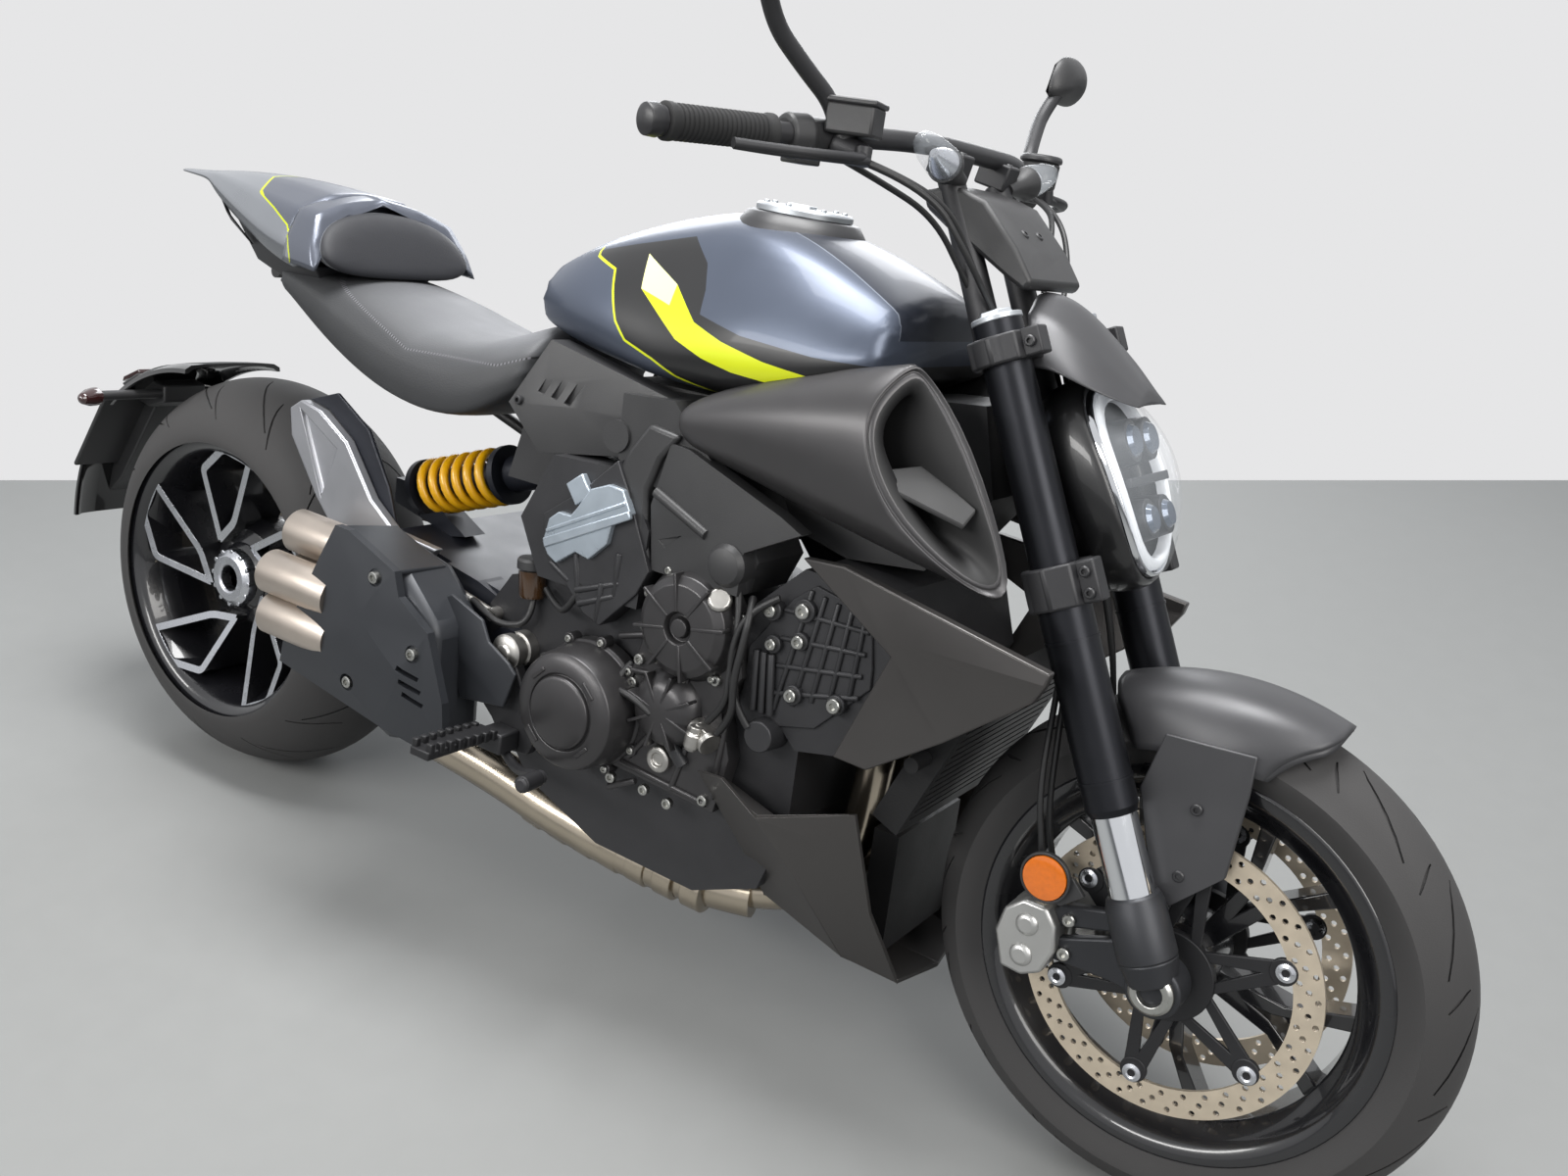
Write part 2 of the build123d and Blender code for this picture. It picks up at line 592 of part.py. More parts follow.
def tail_cover():
    """The pointed tail, hollow under its front edge for the pad."""
    tail = smooth_loft([
        (-238, [(0, 944), (18, 944), (27, 949), (16, 954), (0, 955)]),
        (-150, [(0, 918), (34, 920), (50, 938), (36, 956), (0, 962)]),
        (-40, [(0, 884), (62, 888), (90, 918), (66, 958), (0, 972)]),
        (70, [(0, 862), (86, 862), (115, 893), (84, 954), (0, 978)]),
        (170, [(0, 864), (98, 858), (130, 886), (98, 946), (0, 978)]),
    ])
    hood = rib_loft([
        (169, [(0, 930), (100, 926), (128, 886), (106, 942), (0, 977)]),
        (250, [(0, 932), (96, 922), (124, 878), (108, 934), (0, 970)]),
        (322, [(0, 944), (80, 930), (108, 874), (96, 926), (0, 956)]),
    ])
    return tail + hood


def tail_pad():
    """The low backrest pad that fills the hollow of the tail."""
    return smooth_loft([
        (170, [(0, 868), (94, 862), (110, 886), (92, 920), (0, 929)]),
        (240, [(0, 866), (94, 853), (110, 878), (90, 914), (0, 931)]),
        (286, [(0, 862), (80, 850), (94, 870), (76, 906), (0, 932)]),
    ])


def side_covers():
    shape = [(640, 748), (690, 832), (905, 798), (905, 770), (838, 715), (700, 690)]
    cover = sheet(shape, -150, -0.01, 38)
    for n in range(3):
        x = 700 + 26 * n
        cover -= slab([(x, 770), (x + 12, 770), (x + 30, 812), (x + 18, 812)], -170, -150)
    return both_sides(cover)


def air_intake():
    """One intake: a tapering duct along the tank whose slanted mouth is open."""
    def mouth_x(z):
        return 1236 + (892 - z) * 0.60

    rear_yz = ((-112, 812), (-150, 812), (-178, 796), (-180, 760), (-150, 742), (-112, 742))
    waist_yz = ((-124, 862), (-152, 868), (-200, 838), (-204, 770), (-172, 724), (-124, 716))
    mouth_yz = ((-160, 888), (-176, 886), (-214, 830), (-212, 730), (-190, 678), (-172, 690))
    rear = outline([(930, y, z) for y, z in rear_yz])
    waist = outline([(1100, y, z) for y, z in waist_yz])
    mouth = outline([(mouth_x(z), y, z) for y, z in mouth_yz])
    duct = loft([rear, waist, mouth], ruled=True)
    hole_yz = ((-166, 870), (-176, 868), (-202, 822), (-200, 736), (-188, 702), (-178, 708))
    hole_front = outline([(mouth_x(z) + 4, y, z) for y, z in hole_yz])
    hole_back = outline([(1170, y + 14, 0.75 * z + 198) for y, z in hole_yz])
    vane = outline([(1180, -212, 772), (1300, -204, 752), (1300, -204, 760), (1180, -212, 784)])
    vane = extrude(vane, amount=40, dir=(0, 1, 0))
    return (duct - loft([hole_back, hole_front], ruled=True)) + vane


def radiator_shroud():
    shape = [(1122, 664), (1184, 672), (1448, 636), (1436, 600), (1256, 456), (1212, 458), (1268, 592)]
    return sheet(shape, SHROUD_Y, SHROUD_SLOPE, SHROUD_T)


def radiators():
    """The two finned cores. The upper one hangs between the shrouds, the lower one in the belly pan."""
    core = [(1248, 386), (1282, 372), (1352, 548), (1318, 560)]
    upper = slab(core, -RADIATOR_HALF, RADIATOR_HALF)
    front_low, front_high = Vector(1282, 0, 372), Vector(1352, 0, 548)
    rise = (front_high - front_low).normalized()
    ahead = Vector(rise.Z, 0, -rise.X)
    grooves = []
    for n in range(FIN_COUNT):
        middle = front_low + rise * (18 + n * (front_high - front_low).length / (FIN_COUNT + 2))
        a, b = middle - ahead * FIN_DEPTH, middle + ahead * 2
        grooves.append(slab([(a.X, a.Z), (b.X, b.Z), (b.X + 3 * rise.X, b.Z + 3 * rise.Z),
                             (a.X + 3 * rise.X, a.Z + 3 * rise.Z)], 14 - RADIATOR_HALF, RADIATOR_HALF - 14))
    upper -= grooves
    shroud_y = SHROUD_Y + SHROUD_SLOPE * RADIATOR_TAB_X
    tabs = [cylinder((RADIATOR_TAB_X, s * (RADIATOR_HALF - 2), 474),
                     (RADIATOR_TAB_X, s * (abs(shroud_y) - SHROUD_T - FIT), 474), 9) for s in (-1, 1)]
    lower = slab([(1228, 190), (1262, 186), (1258, 340), (1224, 340)], -84, 84)
    return [fuse(upper, *tabs), lower]


def belly_pan():
    """The chin fairing: a narrow keel that widens into a scoop on each side, open to the front."""
    def section(z, x0, x1, half, nose):
        return outline([(x0, -half, z), (x1, -nose, z), (x1, nose, z), (x0, half, z)])

    outer = loft([section(150, 1180, 1282, 70, 60), section(215, 1108, 1280, 112, 96), section(300, 1086, 1272, 160, 116),
                  section(372, 1034, 1264, 186, 150)], ruled=True)
    inner = loft([section(156, 1150, 1300, 64, 54), section(215, 1098, 1300, 106, 90), section(300, 1076, 1300, 154, 110),
                  section(380, 1020, 1300, 180, 144)], ruled=True)
    return outer - inner


def header_pipes():
    pieces = []
    for side in (-1, 1):
        pieces.append(bent_tube([(1200, side * 52, 470), (1196, side * 52, 330), (1150, side * 60, 222),
                                 (1040, side * 66, 176)], 22, 40))
    collector = bent_tube([(1066, -66, 178), (880, -100, 176), (700, -120, 210), (560, -176, 262)], 32, 120)
    pieces.append(collector)
    pieces.append(bent_tube([(1052, 66, 174), (900, 50, 118), (760, -60, 140), (700, -110, 200)], 24, 60))
    return fuse(*pieces)


def muffler():
    body = slab([(431, 538), (568, 507), (636, 446), (641, 286), (560, 262), (372, 322)], -252, -150)
    outlets = []
    for x, y, z in ((318, -212, 500), (330, -258, 446), (334, -214, 438), (336, -262, 388)):
        back = Vector(x, y, z)
        front = back + Vector(120, 18, -16)
        outlets.append(cylinder(back, front, 29) - cylinder(back, back + (front - back) * 0.6, 26))
    return fuse(body, *outlets)


def muffler_shield():
    shape = [(420, 546), (568, 515), (644, 450), (646, 282), (556, 262), (350, 338)]
    plate = slab(shape, -266, -252)
    for n in range(3):
        z = 330 + 20 * n
        plate -= slab([(566, z), (600, z + 8), (600, z + 15), (566, z + 7)], -270, -250)
    return plate


def rear_hugger():
    """The narrow rear guard behind the tyre, with its arm from the swingarm hub."""
    centre = Vector(-100, 0, 318)
    section = [(-92, 322), (-80, 332), (80, 332), (92, 322), (88, 318), (78, 327), (-78, 327), (-88, 318)]
    band = lathe(section, centre, 84.0, -88.0)
    arm = bent_tube([(-66, 146, 376), (-140, 146, 470), (-236, 116, 556), (-300, 60, 590)], 8, 40)
    return fuse(band, arm)


def plate_holder():
    """The number plate bracket with a blank plate, the lamp and two stalk lamps."""
    plate = outline([(-322, -100, 556), (-322, 100, 556), (-404, 100, 430), (-404, -100, 430)])
    plate = extrude(plate, amount=4, dir=(-0.84, 0, 0.54))
    spine = slab([(-330, 590), (-290, 596), (-300, 560), (-400, 400), (-440, 362), (-450, 380)], -24, 24)
    stalks = cylinder((-262, -178, 577), (-262, 178, 577), 9)
    lamps = [cylinder((-262, s * 150, 577), (-236, s * 190, 577), 16, 10) for s in (-1, 1)]
    lamp = slab([(-372, 574), (-318, 600), (-290, 590), (-340, 556)], -44, 44)
    stem = slab([(-300, 560), (-250, 590), (-250, 565), (-290, 545)], -20, 20)
    return fuse(plate, spine, stalks, lamp, stem, *lamps)


def foot_controls():
    """The footrests, their hangers, the brake pedal on the right and the gear lever on the left."""
    pieces = []
    for s in (-1, 1):
        hanger = slab([(650, 420), (712, 420), (770, 330), (752, 300), (715, 300), (640, 380)], -190, -168)
        if s > 0:
            hanger = mirror(hanger, Plane.XZ)
        peg = cylinder((716, s * 168, 322), (712, s * 332, 334), 12)
        lever = bent_tube([(716, s * 196, 300), (760, s * 214, 296), (850, s * 262, 322)], 7, 20)
        tip = cylinder((852, s * 250, 324), (856, s * 306, 326), 9)
        pieces.append(fuse(hanger, peg, lever, tip))
    return pieces


def triple_clamps():
    stem = cylinder(on_fork(LOWER_CLAMP_H), on_fork(UPPER_CLAMP_H + UPPER_CLAMP_T), STEM_R)
    parts = [stem]
    for h, t in ((LOWER_CLAMP_H, LOWER_CLAMP_T), (UPPER_CLAMP_H, UPPER_CLAMP_T)):
        corners = [(-32, -40), (-32, 40), (FORK_OFFSET - 36, FORK_Y + 34), (FORK_OFFSET + 34, FORK_Y + 36),
                   (FORK_OFFSET + 30, 50), (FORK_OFFSET + 30, -50), (FORK_OFFSET + 34, -FORK_Y - 36),
                   (FORK_OFFSET - 36, -FORK_Y - 34)]
        face = outline([tuple(on_fork(h, a, y)) for a, y in corners])
        parts.append(extrude(face, amount=t, dir=UP))
    for s in (-1, 1):
        foot = on_fork(UPPER_CLAMP_H + UPPER_CLAMP_T, -4, s * 62)
        parts.append(cylinder(foot, (1168, s * 62, 1112), 17))
    clamp = fuse(*parts)
    for s in (-1, 1):
        r_low, r_high = FORK_TUBE_R, FORK_TOP_R
        clamp -= cylinder(on_fork(LOWER_CLAMP_H - 10, FORK_OFFSET, s * FORK_Y),
                          on_fork(LOWER_CLAMP_H + LOWER_CLAMP_T + 10, FORK_OFFSET, s * FORK_Y), r_low)
        clamp -= cylinder(on_fork(UPPER_CLAMP_H - 10, FORK_OFFSET, s * FORK_Y),
                          on_fork(UPPER_CLAMP_H + UPPER_CLAMP_T + 10, FORK_OFFSET, s * FORK_Y), r_high)
    return clamp


def fork_tubes():
    tubes = []
    shoulder = LOWER_CLAMP_H + LOWER_CLAMP_T
    for s in (-1, 1):
        def at(h):
            return on_fork(h, FORK_OFFSET, s * FORK_Y)

        tube = cylinder(at(TUBE_END_H), at(shoulder), FORK_TUBE_R)
        tube += cylinder(at(shoulder), at(FORK_TOP_H), FORK_TOP_R)
        tubes.append(tube - cylinder(at(TUBE_END_H - 1), at(TUBE_END_H + 40), STANCHION_R))
    return tubes


def fork_lowers():
    """The bright sliding tubes and the cast feet that hold the axle and the calipers."""
    lowers = []
    for s in (-1, 1):
        def at(h, ahead=FORK_OFFSET):
            return on_fork(h, ahead, s * FORK_Y)

        leg = cylinder(at(FOOT_TOP_H), at(TUBE_END_H + 40), STANCHION_R)
        foot = cylinder(at(AXLE_H + 26), at(FOOT_TOP_H), STANCHION_R + 8)
        inner, outer = s * 80, s * 122
        boss = cylinder((WHEELBASE, inner, FRONT_R), (WHEELBASE, outer, FRONT_R), 31)
        lug = slab([(1590, 330), (1540, 326), (1470, 300), (1468, 276), (1540, 276), (1590, 274)],
                   min(s * 82, s * 96), max(s * 82, s * 96))
        lug2 = slab([(1560, 372), (1540, 352), (1466, 338), (1470, 356), (1530, 388)],
                    min(s * 82, s * 96), max(s * 82, s * 96))
        solid = fuse(leg, foot, boss, lug, lug2)
        solid -= cylinder((WHEELBASE, s * 60, FRONT_R), (WHEELBASE, s * 130, FRONT_R), FRONT_AXLE_R + FIT)
        lowers.append(solid)
    return lowers


def front_axle():
    """The hollow axle that both fork feet clamp, with the sleeves that carry the wheel."""
    tube = cylinder((WHEELBASE, -122, FRONT_R), (WHEELBASE, 122, FRONT_R), FRONT_AXLE_R)
    return tube - cylinder((WHEELBASE, -130, FRONT_R), (WHEELBASE, 130, FRONT_R), FRONT_AXLE_BORE_R)


def front_calipers():
    pieces = []
    for s in (-1, 1):
        shape = [(1424, 254), (1462, 258), (1474, 300), (1464, 338), (1430, 334), (1408, 296)]
        block = slab(shape, min(s * 48, s * 114), max(s * 48, s * 114))
        gap = slab([(1400, 200), (1600, 200), (1600, 400), (1400, 400)],
                   min(s * 60, s * 76), max(s * 60, s * 76))
        back = slab([(1408, 262), (1424, 254), (1430, 334), (1408, 326)],
                    min(s * 60, s * 76), max(s * 60, s * 76))
        room = cylinder((WHEELBASE, s * 60, FRONT_R), (WHEELBASE, s * 76, FRONT_R), FRONT_DISC_R + 5)
        pieces.append((block - gap) + ((back & block) - room))
    return pieces


def front_fender():
    """The short front mudguard with a cheek on each side that bolts to the fork foot."""
    def band(outer_half, outer_r, drop):
        return [(-outer_half, outer_r - drop), (-outer_half + 14, outer_r - 18), (-outer_half + 40, outer_r),
                (outer_half - 40, outer_r), (outer_half - 14, outer_r - 18), (outer_half, outer_r - drop)]

    wall = 4
    outer = band(80, 326, 60)
    inner = [(y * (80 - wall) / 80, r - wall) for y, r in band(80, 326, 60)]
    inner[0] = (-80 + wall, 326 - 60)
    inner[-1] = (80 - wall, 326 - 60)
    arch = lathe(outer + inner[::-1], FRONT_AXLE, 52.0)
    arch = arch.rotate(Axis(FRONT_AXLE, (0, 1, 0)), -32)
    cheek = slab([(1500, 560), (1640, 560), (1650, 470), (1640, 420), (1596, 384), (1552, 400), (1528, 470)], -84, -78)
    return fuse(arch, *both_sides(cheek))


def handlebar():
    path = [(1044, -BAR_HALF, 1098), (1092, -290, 1106), (1160, -130, 1120), (1168, 0, 1122), (1160, 130, 1120),
            (1092, 290, 1106), (1044, BAR_HALF, 1098)]
    bar = bent_tube(path, BAR_R, 40)
    for s in (-1, 1):
        outer, inner = Vector(1044, s * BAR_HALF, 1098), Vector(1092, s * 290, 1106)
        bar += cylinder(outer, outer + (inner - outer) * 0.92, GRIP_R)
    return bar


def hand_controls():
    """The levers, their clamps, the fluid reservoirs and the front indicator lamps."""
    pieces = []
    for s in (-1, 1):
        perch = cylinder((1104, s * 262, 1108), (1120, s * 224, 1112), 19)
        bridge = cylinder((1108, s * 250, 1108), (1150, s * 236, 1096), 11)
        lever = bent_tube([(1150, s * 232, 1096), (1146, s * 300, 1092), (1112, s * 388, 1088)], 6, 40)
        cup = cylinder((1142, s * 240, 1104), (1142, s * 240, 1146), 27)
        pieces.append(fuse(perch, bridge, lever, cup))
    return pieces


def front_signals():
    pieces = []
    for s in (-1, 1):
        pieces.append(cylinder((1172, s * 78, 1118), (1204, s * 176, 1112), 20, 12))
    return pieces


def mirrors():
    pieces = []
    for s in (-1, 1):
        stem = bent_tube([(1118, s * 236, 1108), (1122, s * 246, 1160), (1100, s * 345, 1205), (1098, s * 372, 1236)], 7, 22)
        face = outline([(1086, s * 330, 1226), (1086, s * 350, 1284), (1086, s * 426, 1284), (1086, s * 440, 1250),
                        (1086, s * 410, 1224)])
        head = extrude(face, amount=22, dir=(1, 0, 0))
        pieces.append(fuse(stem, head))
    return pieces


def dashboard():
    """The instrument pod, leaning back above the headlamp."""
    shape = [(1216, -34), (1196, 30), (1100, 62), (1078, 58), (1082, 48), (1150, 6)]
    face = outline([tuple(on_fork(h, ahead, -76)) for h, ahead in shape])
    return extrude(face, amount=152, dir=(0, 1, 0))


def headlight():
    """The horseshoe headlamp: a deep bezel ahead of the fork, domed forward into its lens."""
    return fork_loft([
        (62, [(0, 738), (58, 748), (86, 800), (92, 930), (70, 980), (0, 990)]),
        (98, [(0, 730), (56, 744), (88, 800), (92, 920), (68, 966), (0, 976)]),
        (120, [(0, 742), (50, 756), (80, 806), (82, 908), (60, 948), (0, 956)]),
        (146, [(0, 802), (24, 808), (42, 830), (42, 872), (30, 892), (0, 896)]),
    ])


def headlight_cowl():
    """The small cowl that hoods the headlamp and carries the instrument pod."""
    return fork_loft([
        (52, [(0, 992), (64, 988), (90, 992), (72, 1038), (0, 1078)]),
        (84, [(0, 978), (68, 972), (92, 972), (72, 1010), (0, 1054)]),
        (116, [(0, 950), (54, 946), (76, 940), (58, 962), (0, 992)]),
        (136, [(0, 926), (34, 924), (48, 922), (36, 928), (0, 938)]),
    ])


def brake_hoses():
    hoses = []
    for s in (-1, 1):
        path = [(1440, s * 98, 336), (1432, s * 104, 420), (1418, s * 96, 520), (1400, s * 70, 620), (1392, s * 50, 700)]
        hoses.append(bent_tube(path, 4, 60))
    return hoses


def side_stand():
    """The stand leg, its pad on the ground and its pivot eye."""
    down = Vector(0, sin(radians(LEAN)), -cos(radians(LEAN)))
    foot = cylinder(STAND_PAD, STAND_PAD - down * PAD_T, PAD_R)
    leg = cylinder(STAND_PIVOT, STAND_PAD - down * PAD_T / 2, STAND_R, STAND_R - 2)
    half_eye = STAND_AXIS * (STAND_R + 1)
    eye = cylinder(STAND_PIVOT - half_eye, STAND_PIVOT + half_eye, STAND_EYE_R)
    below = cylinder(STAND_PAD, STAND_PAD + down * 40, 3 * PAD_R)
    return fuse(leg, foot, eye) - below


def parts():
    """Every piece by its name, in the upright frame."""
    made = {}
    damper, spring = shock()
    made["crankcase"] = crankcase() + stand_bracket()
    made["cylinder_banks"] = cylinder_banks()
    made["engine_covers"] = engine_covers() + [head_plate()]
    made["main_frame"] = main_frame()
    made["swingarm"] = swingarm()
    made["swingarm_guard"] = swingarm_guard()
    made["shock_damper"] = damper
    made["shock_spring"] = spring
    made["rear_subframe"] = rear_subframe()
    made["fuel_tank"] = fuel_tank()
    made["tail_cover"] = tail_cover()
    made["tail_pad"] = tail_pad()
    made["seat"] = seat()
    made["side_covers"] = side_covers()
    made["air_intakes"] = both_sides(air_intake())
    made["radiator_shrouds"] = both_sides(radiator_shroud())
    made["header_pipes"] = header_pipes()
    made["belly_pan"] = belly_pan()
    made["radiators"] = radiators()
    made["muffler"] = muffler()
    made["muffler_shield"] = muffler_shield()
    made["drive_chain"] = chain_loop()
    made["rear_hugger"] = rear_hugger()
    made["plate_holder"] = plate_holder()
    made["foot_controls"] = foot_controls()
    made["triple_clamps"] = triple_clamps()
    made["fork_tubes"] = fork_tubes()
    made["fork_lowers"] = fork_lowers()
    made["front_axle"] = front_axle()
    made["handlebar"] = handlebar()
    made["hand_controls"] = hand_controls()
    made["front_signals"] = front_signals()
    made["mirrors"] = mirrors()
    made["dashboard"] = dashboard()
    made["headlight"] = headlight()
    made["headlight_cowl"] = headlight_cowl()
    made["front_fender"] = front_fender()
    made["front_calipers"] = front_calipers()
    made["brake_hoses"] = brake_hoses()
    made.update(rear_wheel())
    made.update(front_wheel())
    made["side_stand"] = side_stand()
    made["fuel_cap"] = fuel_cap()
    return made


BODY_OF = {
    "rear_wheel": ["rear_rim", "rear_tyre", "rear_disc", "rear_sprocket"],
    "front_wheel": ["front_rim", "front_tyre", "front_discs"],
    "steering": ["triple_clamps", "fork_tubes", "fork_lowers", "front_axle", "handlebar", "hand_controls",
                 "front_signals", "mirrors", "dashboard", "headlight", "headlight_cowl", "front_fender",
                 "front_calipers", "brake_hoses"],
    "side_stand": ["side_stand"],
    "fuel_cap": ["fuel_cap"],
}


def overlap(a, b):
    p, q = a.bounding_box(), b.bounding_box()
    return all(
        getattr(p.min, k) < getattr(q.max, k) and getattr(q.min, k) < getattr(p.max, k) for k in "XYZ"
    )


def trimmed(made):
    """Each piece of a body is cut back to the faces of those already in place."""
    body = {name: group for group, names in BODY_OF.items() for name in names}
    done = {}
    for name, piece in made.items():
        solids = solids_of(piece)
        for other, placed in done.items():
            if body.get(other, "chassis") != body.get(name, "chassis"):
                continue
            for cutter in placed:
                solids = [s for one in solids for s in (solids_of(one - cutter) if overlap(one, cutter) else [one])]
        done[name] = [s for s in solids if s.volume > 400]
    return done


def parked(pieces):
    """The lean onto the side stand, the small pitch that sets both tyres down, and the shift."""
    rise = (ground_height(WHEELBASE, 0) - ground_height(0, 0)) * cos(radians(LEAN))
    pitch = degrees(asin(rise / WHEELBASE))
    turn = Location((0, 0, 0), (0, pitch, 0)) * Location((0, 0, 0), (-LEAN, 0, 0))
    posed = {name: [turn * s for s in solids] for name, solids in pieces.items()}
    box = Compound([s for solids in posed.values() for s in solids]).bounding_box()
    shift = Location((-(box.min.X + box.max.X) / 2, -(box.min.Y + box.max.Y) / 2, -box.min.Z))
    place = shift * turn
    return {name: [place * s for s in solids] for name, solids in pieces.items()}, place


PLACED, PLACE = parked(trimmed(parts()))

os.makedirs("parts", exist_ok=True)
for name, solids in PLACED.items():
    export_step(solids[0] if len(solids) == 1 else Compound(solids), f"parts/{name}.step")
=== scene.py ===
import bmesh
import bpy
import json
from math import asin, cos, pi, radians, sin
from mathutils import Matrix, Vector


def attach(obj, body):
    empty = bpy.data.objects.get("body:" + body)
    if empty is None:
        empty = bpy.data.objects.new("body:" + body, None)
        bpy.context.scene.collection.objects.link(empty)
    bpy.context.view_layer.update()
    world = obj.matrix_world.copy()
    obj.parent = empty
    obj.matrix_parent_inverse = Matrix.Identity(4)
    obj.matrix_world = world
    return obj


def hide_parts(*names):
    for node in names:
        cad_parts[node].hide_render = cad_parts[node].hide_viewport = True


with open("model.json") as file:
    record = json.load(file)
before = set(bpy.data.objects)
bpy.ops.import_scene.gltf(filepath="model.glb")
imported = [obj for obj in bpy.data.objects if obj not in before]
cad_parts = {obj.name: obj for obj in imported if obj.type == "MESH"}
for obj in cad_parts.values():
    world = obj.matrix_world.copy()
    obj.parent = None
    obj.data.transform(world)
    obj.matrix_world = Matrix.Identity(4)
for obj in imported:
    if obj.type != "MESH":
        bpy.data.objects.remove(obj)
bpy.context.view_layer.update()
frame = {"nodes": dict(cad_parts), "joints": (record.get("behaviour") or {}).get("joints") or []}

# The machine's own place. Every piece is drawn upright in millimetres, with +X forward, +Y to the
# left, the ground at zero and the rear axle over zero, and one matrix found from the two wheel
# joints leans it onto its stand.
REAR_R = 324
FRONT_R = 300
WHEELBASE = 1593
MM = 0.001
joints = {joint["name"]: joint for joint in frame["joints"]}
rear_hub = Vector(joints["rear_spin"]["pos_m"])
front_hub = Vector(joints["front_spin"]["pos_m"])
leftward = Vector(joints["rear_spin"]["axis"]).normalized()
between = (front_hub - rear_hub).normalized()
drop = asin((REAR_R - FRONT_R) / WHEELBASE)
square = between.cross(leftward)
forward = between * cos(drop) + square * sin(drop)
upward = square * cos(drop) - between * sin(drop)
ground_point = rear_hub - upward * REAR_R * MM
leaning = Matrix((forward, leftward, upward)).transposed().to_4x4()
BIKE = Matrix.Translation(ground_point) @ leaning @ Matrix.Scale(MM, 4)
REAR_AXLE = Vector((0, 0, REAR_R))
FRONT_AXLE = Vector((WHEELBASE, 0, FRONT_R))

# The camera stands low in front of the machine's right side, as the photographer did, at about
# chest height, and looks slightly down at the engine.
EYE = (1890, -1499, 1041)
AIM = (1150, -255, 648)
CAMERA_ROLL = 1.19
LENS_MM = 32.15


def in_scene(name, data):
    """A new object that holds this data, linked into the scene."""
    holder = bpy.data.objects.new(name, data)
    bpy.context.scene.collection.objects.link(holder)
    return holder


eye = BIKE @ Vector(EYE)
view = BIKE @ Vector(AIM) - eye
roll = Matrix.Rotation(radians(CAMERA_ROLL), 3, "Z").to_quaternion()
camera = in_scene("camera", bpy.data.cameras.new("camera"))
camera.data.lens = LENS_MM
camera.location = eye
camera.rotation_mode = "QUATERNION"
camera.rotation_quaternion = view.to_track_quat("-Z", "Y") @ roll
bpy.context.scene.camera = camera
bpy.context.scene.view_settings.view_transform = "Standard"


# The room: a wide soft lamp overhead, a cooler one behind the left side that draws the bright edges
# of the bodywork, a warmer one ahead on the right, a long low strip on the right, and an even pale
# light all round, which a lens sees as near white.
def softbox(name, place, aim, size, power, colour=(1, 1, 1)):
    """A square soft lamp at a place in the machine's own millimetres."""
    lamp = bpy.data.lights.new(name, "AREA")
    lamp.shape = "RECTANGLE"
    lamp.size, lamp.size_y = size
    lamp.energy = power
    lamp.color = colour
    holder = in_scene(name, lamp)
    holder.location = BIKE @ Vector(place)
    holder.rotation_mode = "QUATERNION"
    holder.rotation_quaternion = (BIKE @ Vector(aim) - holder.location).to_track_quat("-Z", "Y")


softbox("overhead_lamp", (700, -300, 3600), (800, 0, 500), (2.4, 1.2), 170)
softbox("left_rear_lamp", (-900, 2600, 2300), (700, 0, 700), (2.6, 1.4), 60, (0.95, 0.97, 1))
softbox("front_fill_lamp", (3600, -1400, 2300), (1100, 0, 600), (1.6, 2.4), 70, (1, 0.98, 0.95))
softbox("right_strip_lamp", (-200, -3000, 1700), (700, 0, 500), (3.2, 0.6), 80, (1, 0.99, 0.97))

world = bpy.data.worlds.new("room")
bpy.context.scene.world = world
world.use_nodes = True


class Wire:
    """One output in a node tree. Python's operators on it add the Math nodes they mean."""

    def __init__(self, tree, socket):
        self.tree = tree
        self.socket = socket

    def node(self, kind, settings=(), inputs=(), output=0):
        """Any other node, by its type: its settings are set first, then its sockets."""
        made = self.tree.nodes.new("ShaderNode" + kind)
        for name, value in dict(settings).items():
            if name == "stops":
                ramp = made.color_ramp.elements
                while len(ramp) < len(value):
                    ramp.new(1)
                for stop, (place, colour) in zip(ramp, value):
                    stop.position = place
                    stop.color = (*colour, 1) if len(colour) == 3 else colour
            else:
                setattr(made, name, value)
        for key, value in dict(inputs).items():
            if isinstance(value, Wire):
                self.tree.links.new(value.socket, made.inputs[key])
            else:
                made.inputs[key].default_value = value
        return Wire(self.tree, made.outputs[output])

    def math(self, operation, *values):
        return self.node("Math", {"operation": operation}, enumerate(values))

    def mix(self, low, high):
        """The first colour where this is 0, and the second where it is 1."""
        colours = [c if isinstance(c, Wire) else (*c, 1) for c in (low, high)]
        return self.node("Mix", {"data_type": "RGBA"}, {0: self, 6: colours[0], 7: colours[1]}, 2)

    def dot(self, vector):
        return self.node("VectorMath", {"operation": "DOT_PRODUCT"}, {0: self, 1: tuple(vector)}, 1)

    def feed(self, shader, socket):
        """Joins this to a socket of the finish's shader."""
        self.tree.links.new(self.socket, shader.inputs[socket])

    def __add__(self, other):
        return self.math("ADD", self, other)

    def __sub__(self, other):
        return self.math("SUBTRACT", self, other)

    def __rsub__(self, other):
        return self.math("SUBTRACT", other, self)

    def __mul__(self, other):
        return self.math("MULTIPLY", self, other)

    def __truediv__(self, other):
        return self.math("DIVIDE", self, other)

    def __lt__(self, other):
        return self.math("LESS_THAN", self, other)

    def __gt__(self, other):
        return self.math("GREATER_THAN", self, other)

    __radd__ = __add__
    __rmul__ = __mul__


def paint(red, green, blue):
    """A colour as it looks on a screen, from 0 to 255, as the renderer's own linear values."""
    return tuple(((c / 255 + 0.055) / 1.055) ** 2.4 for c in (red, green, blue))


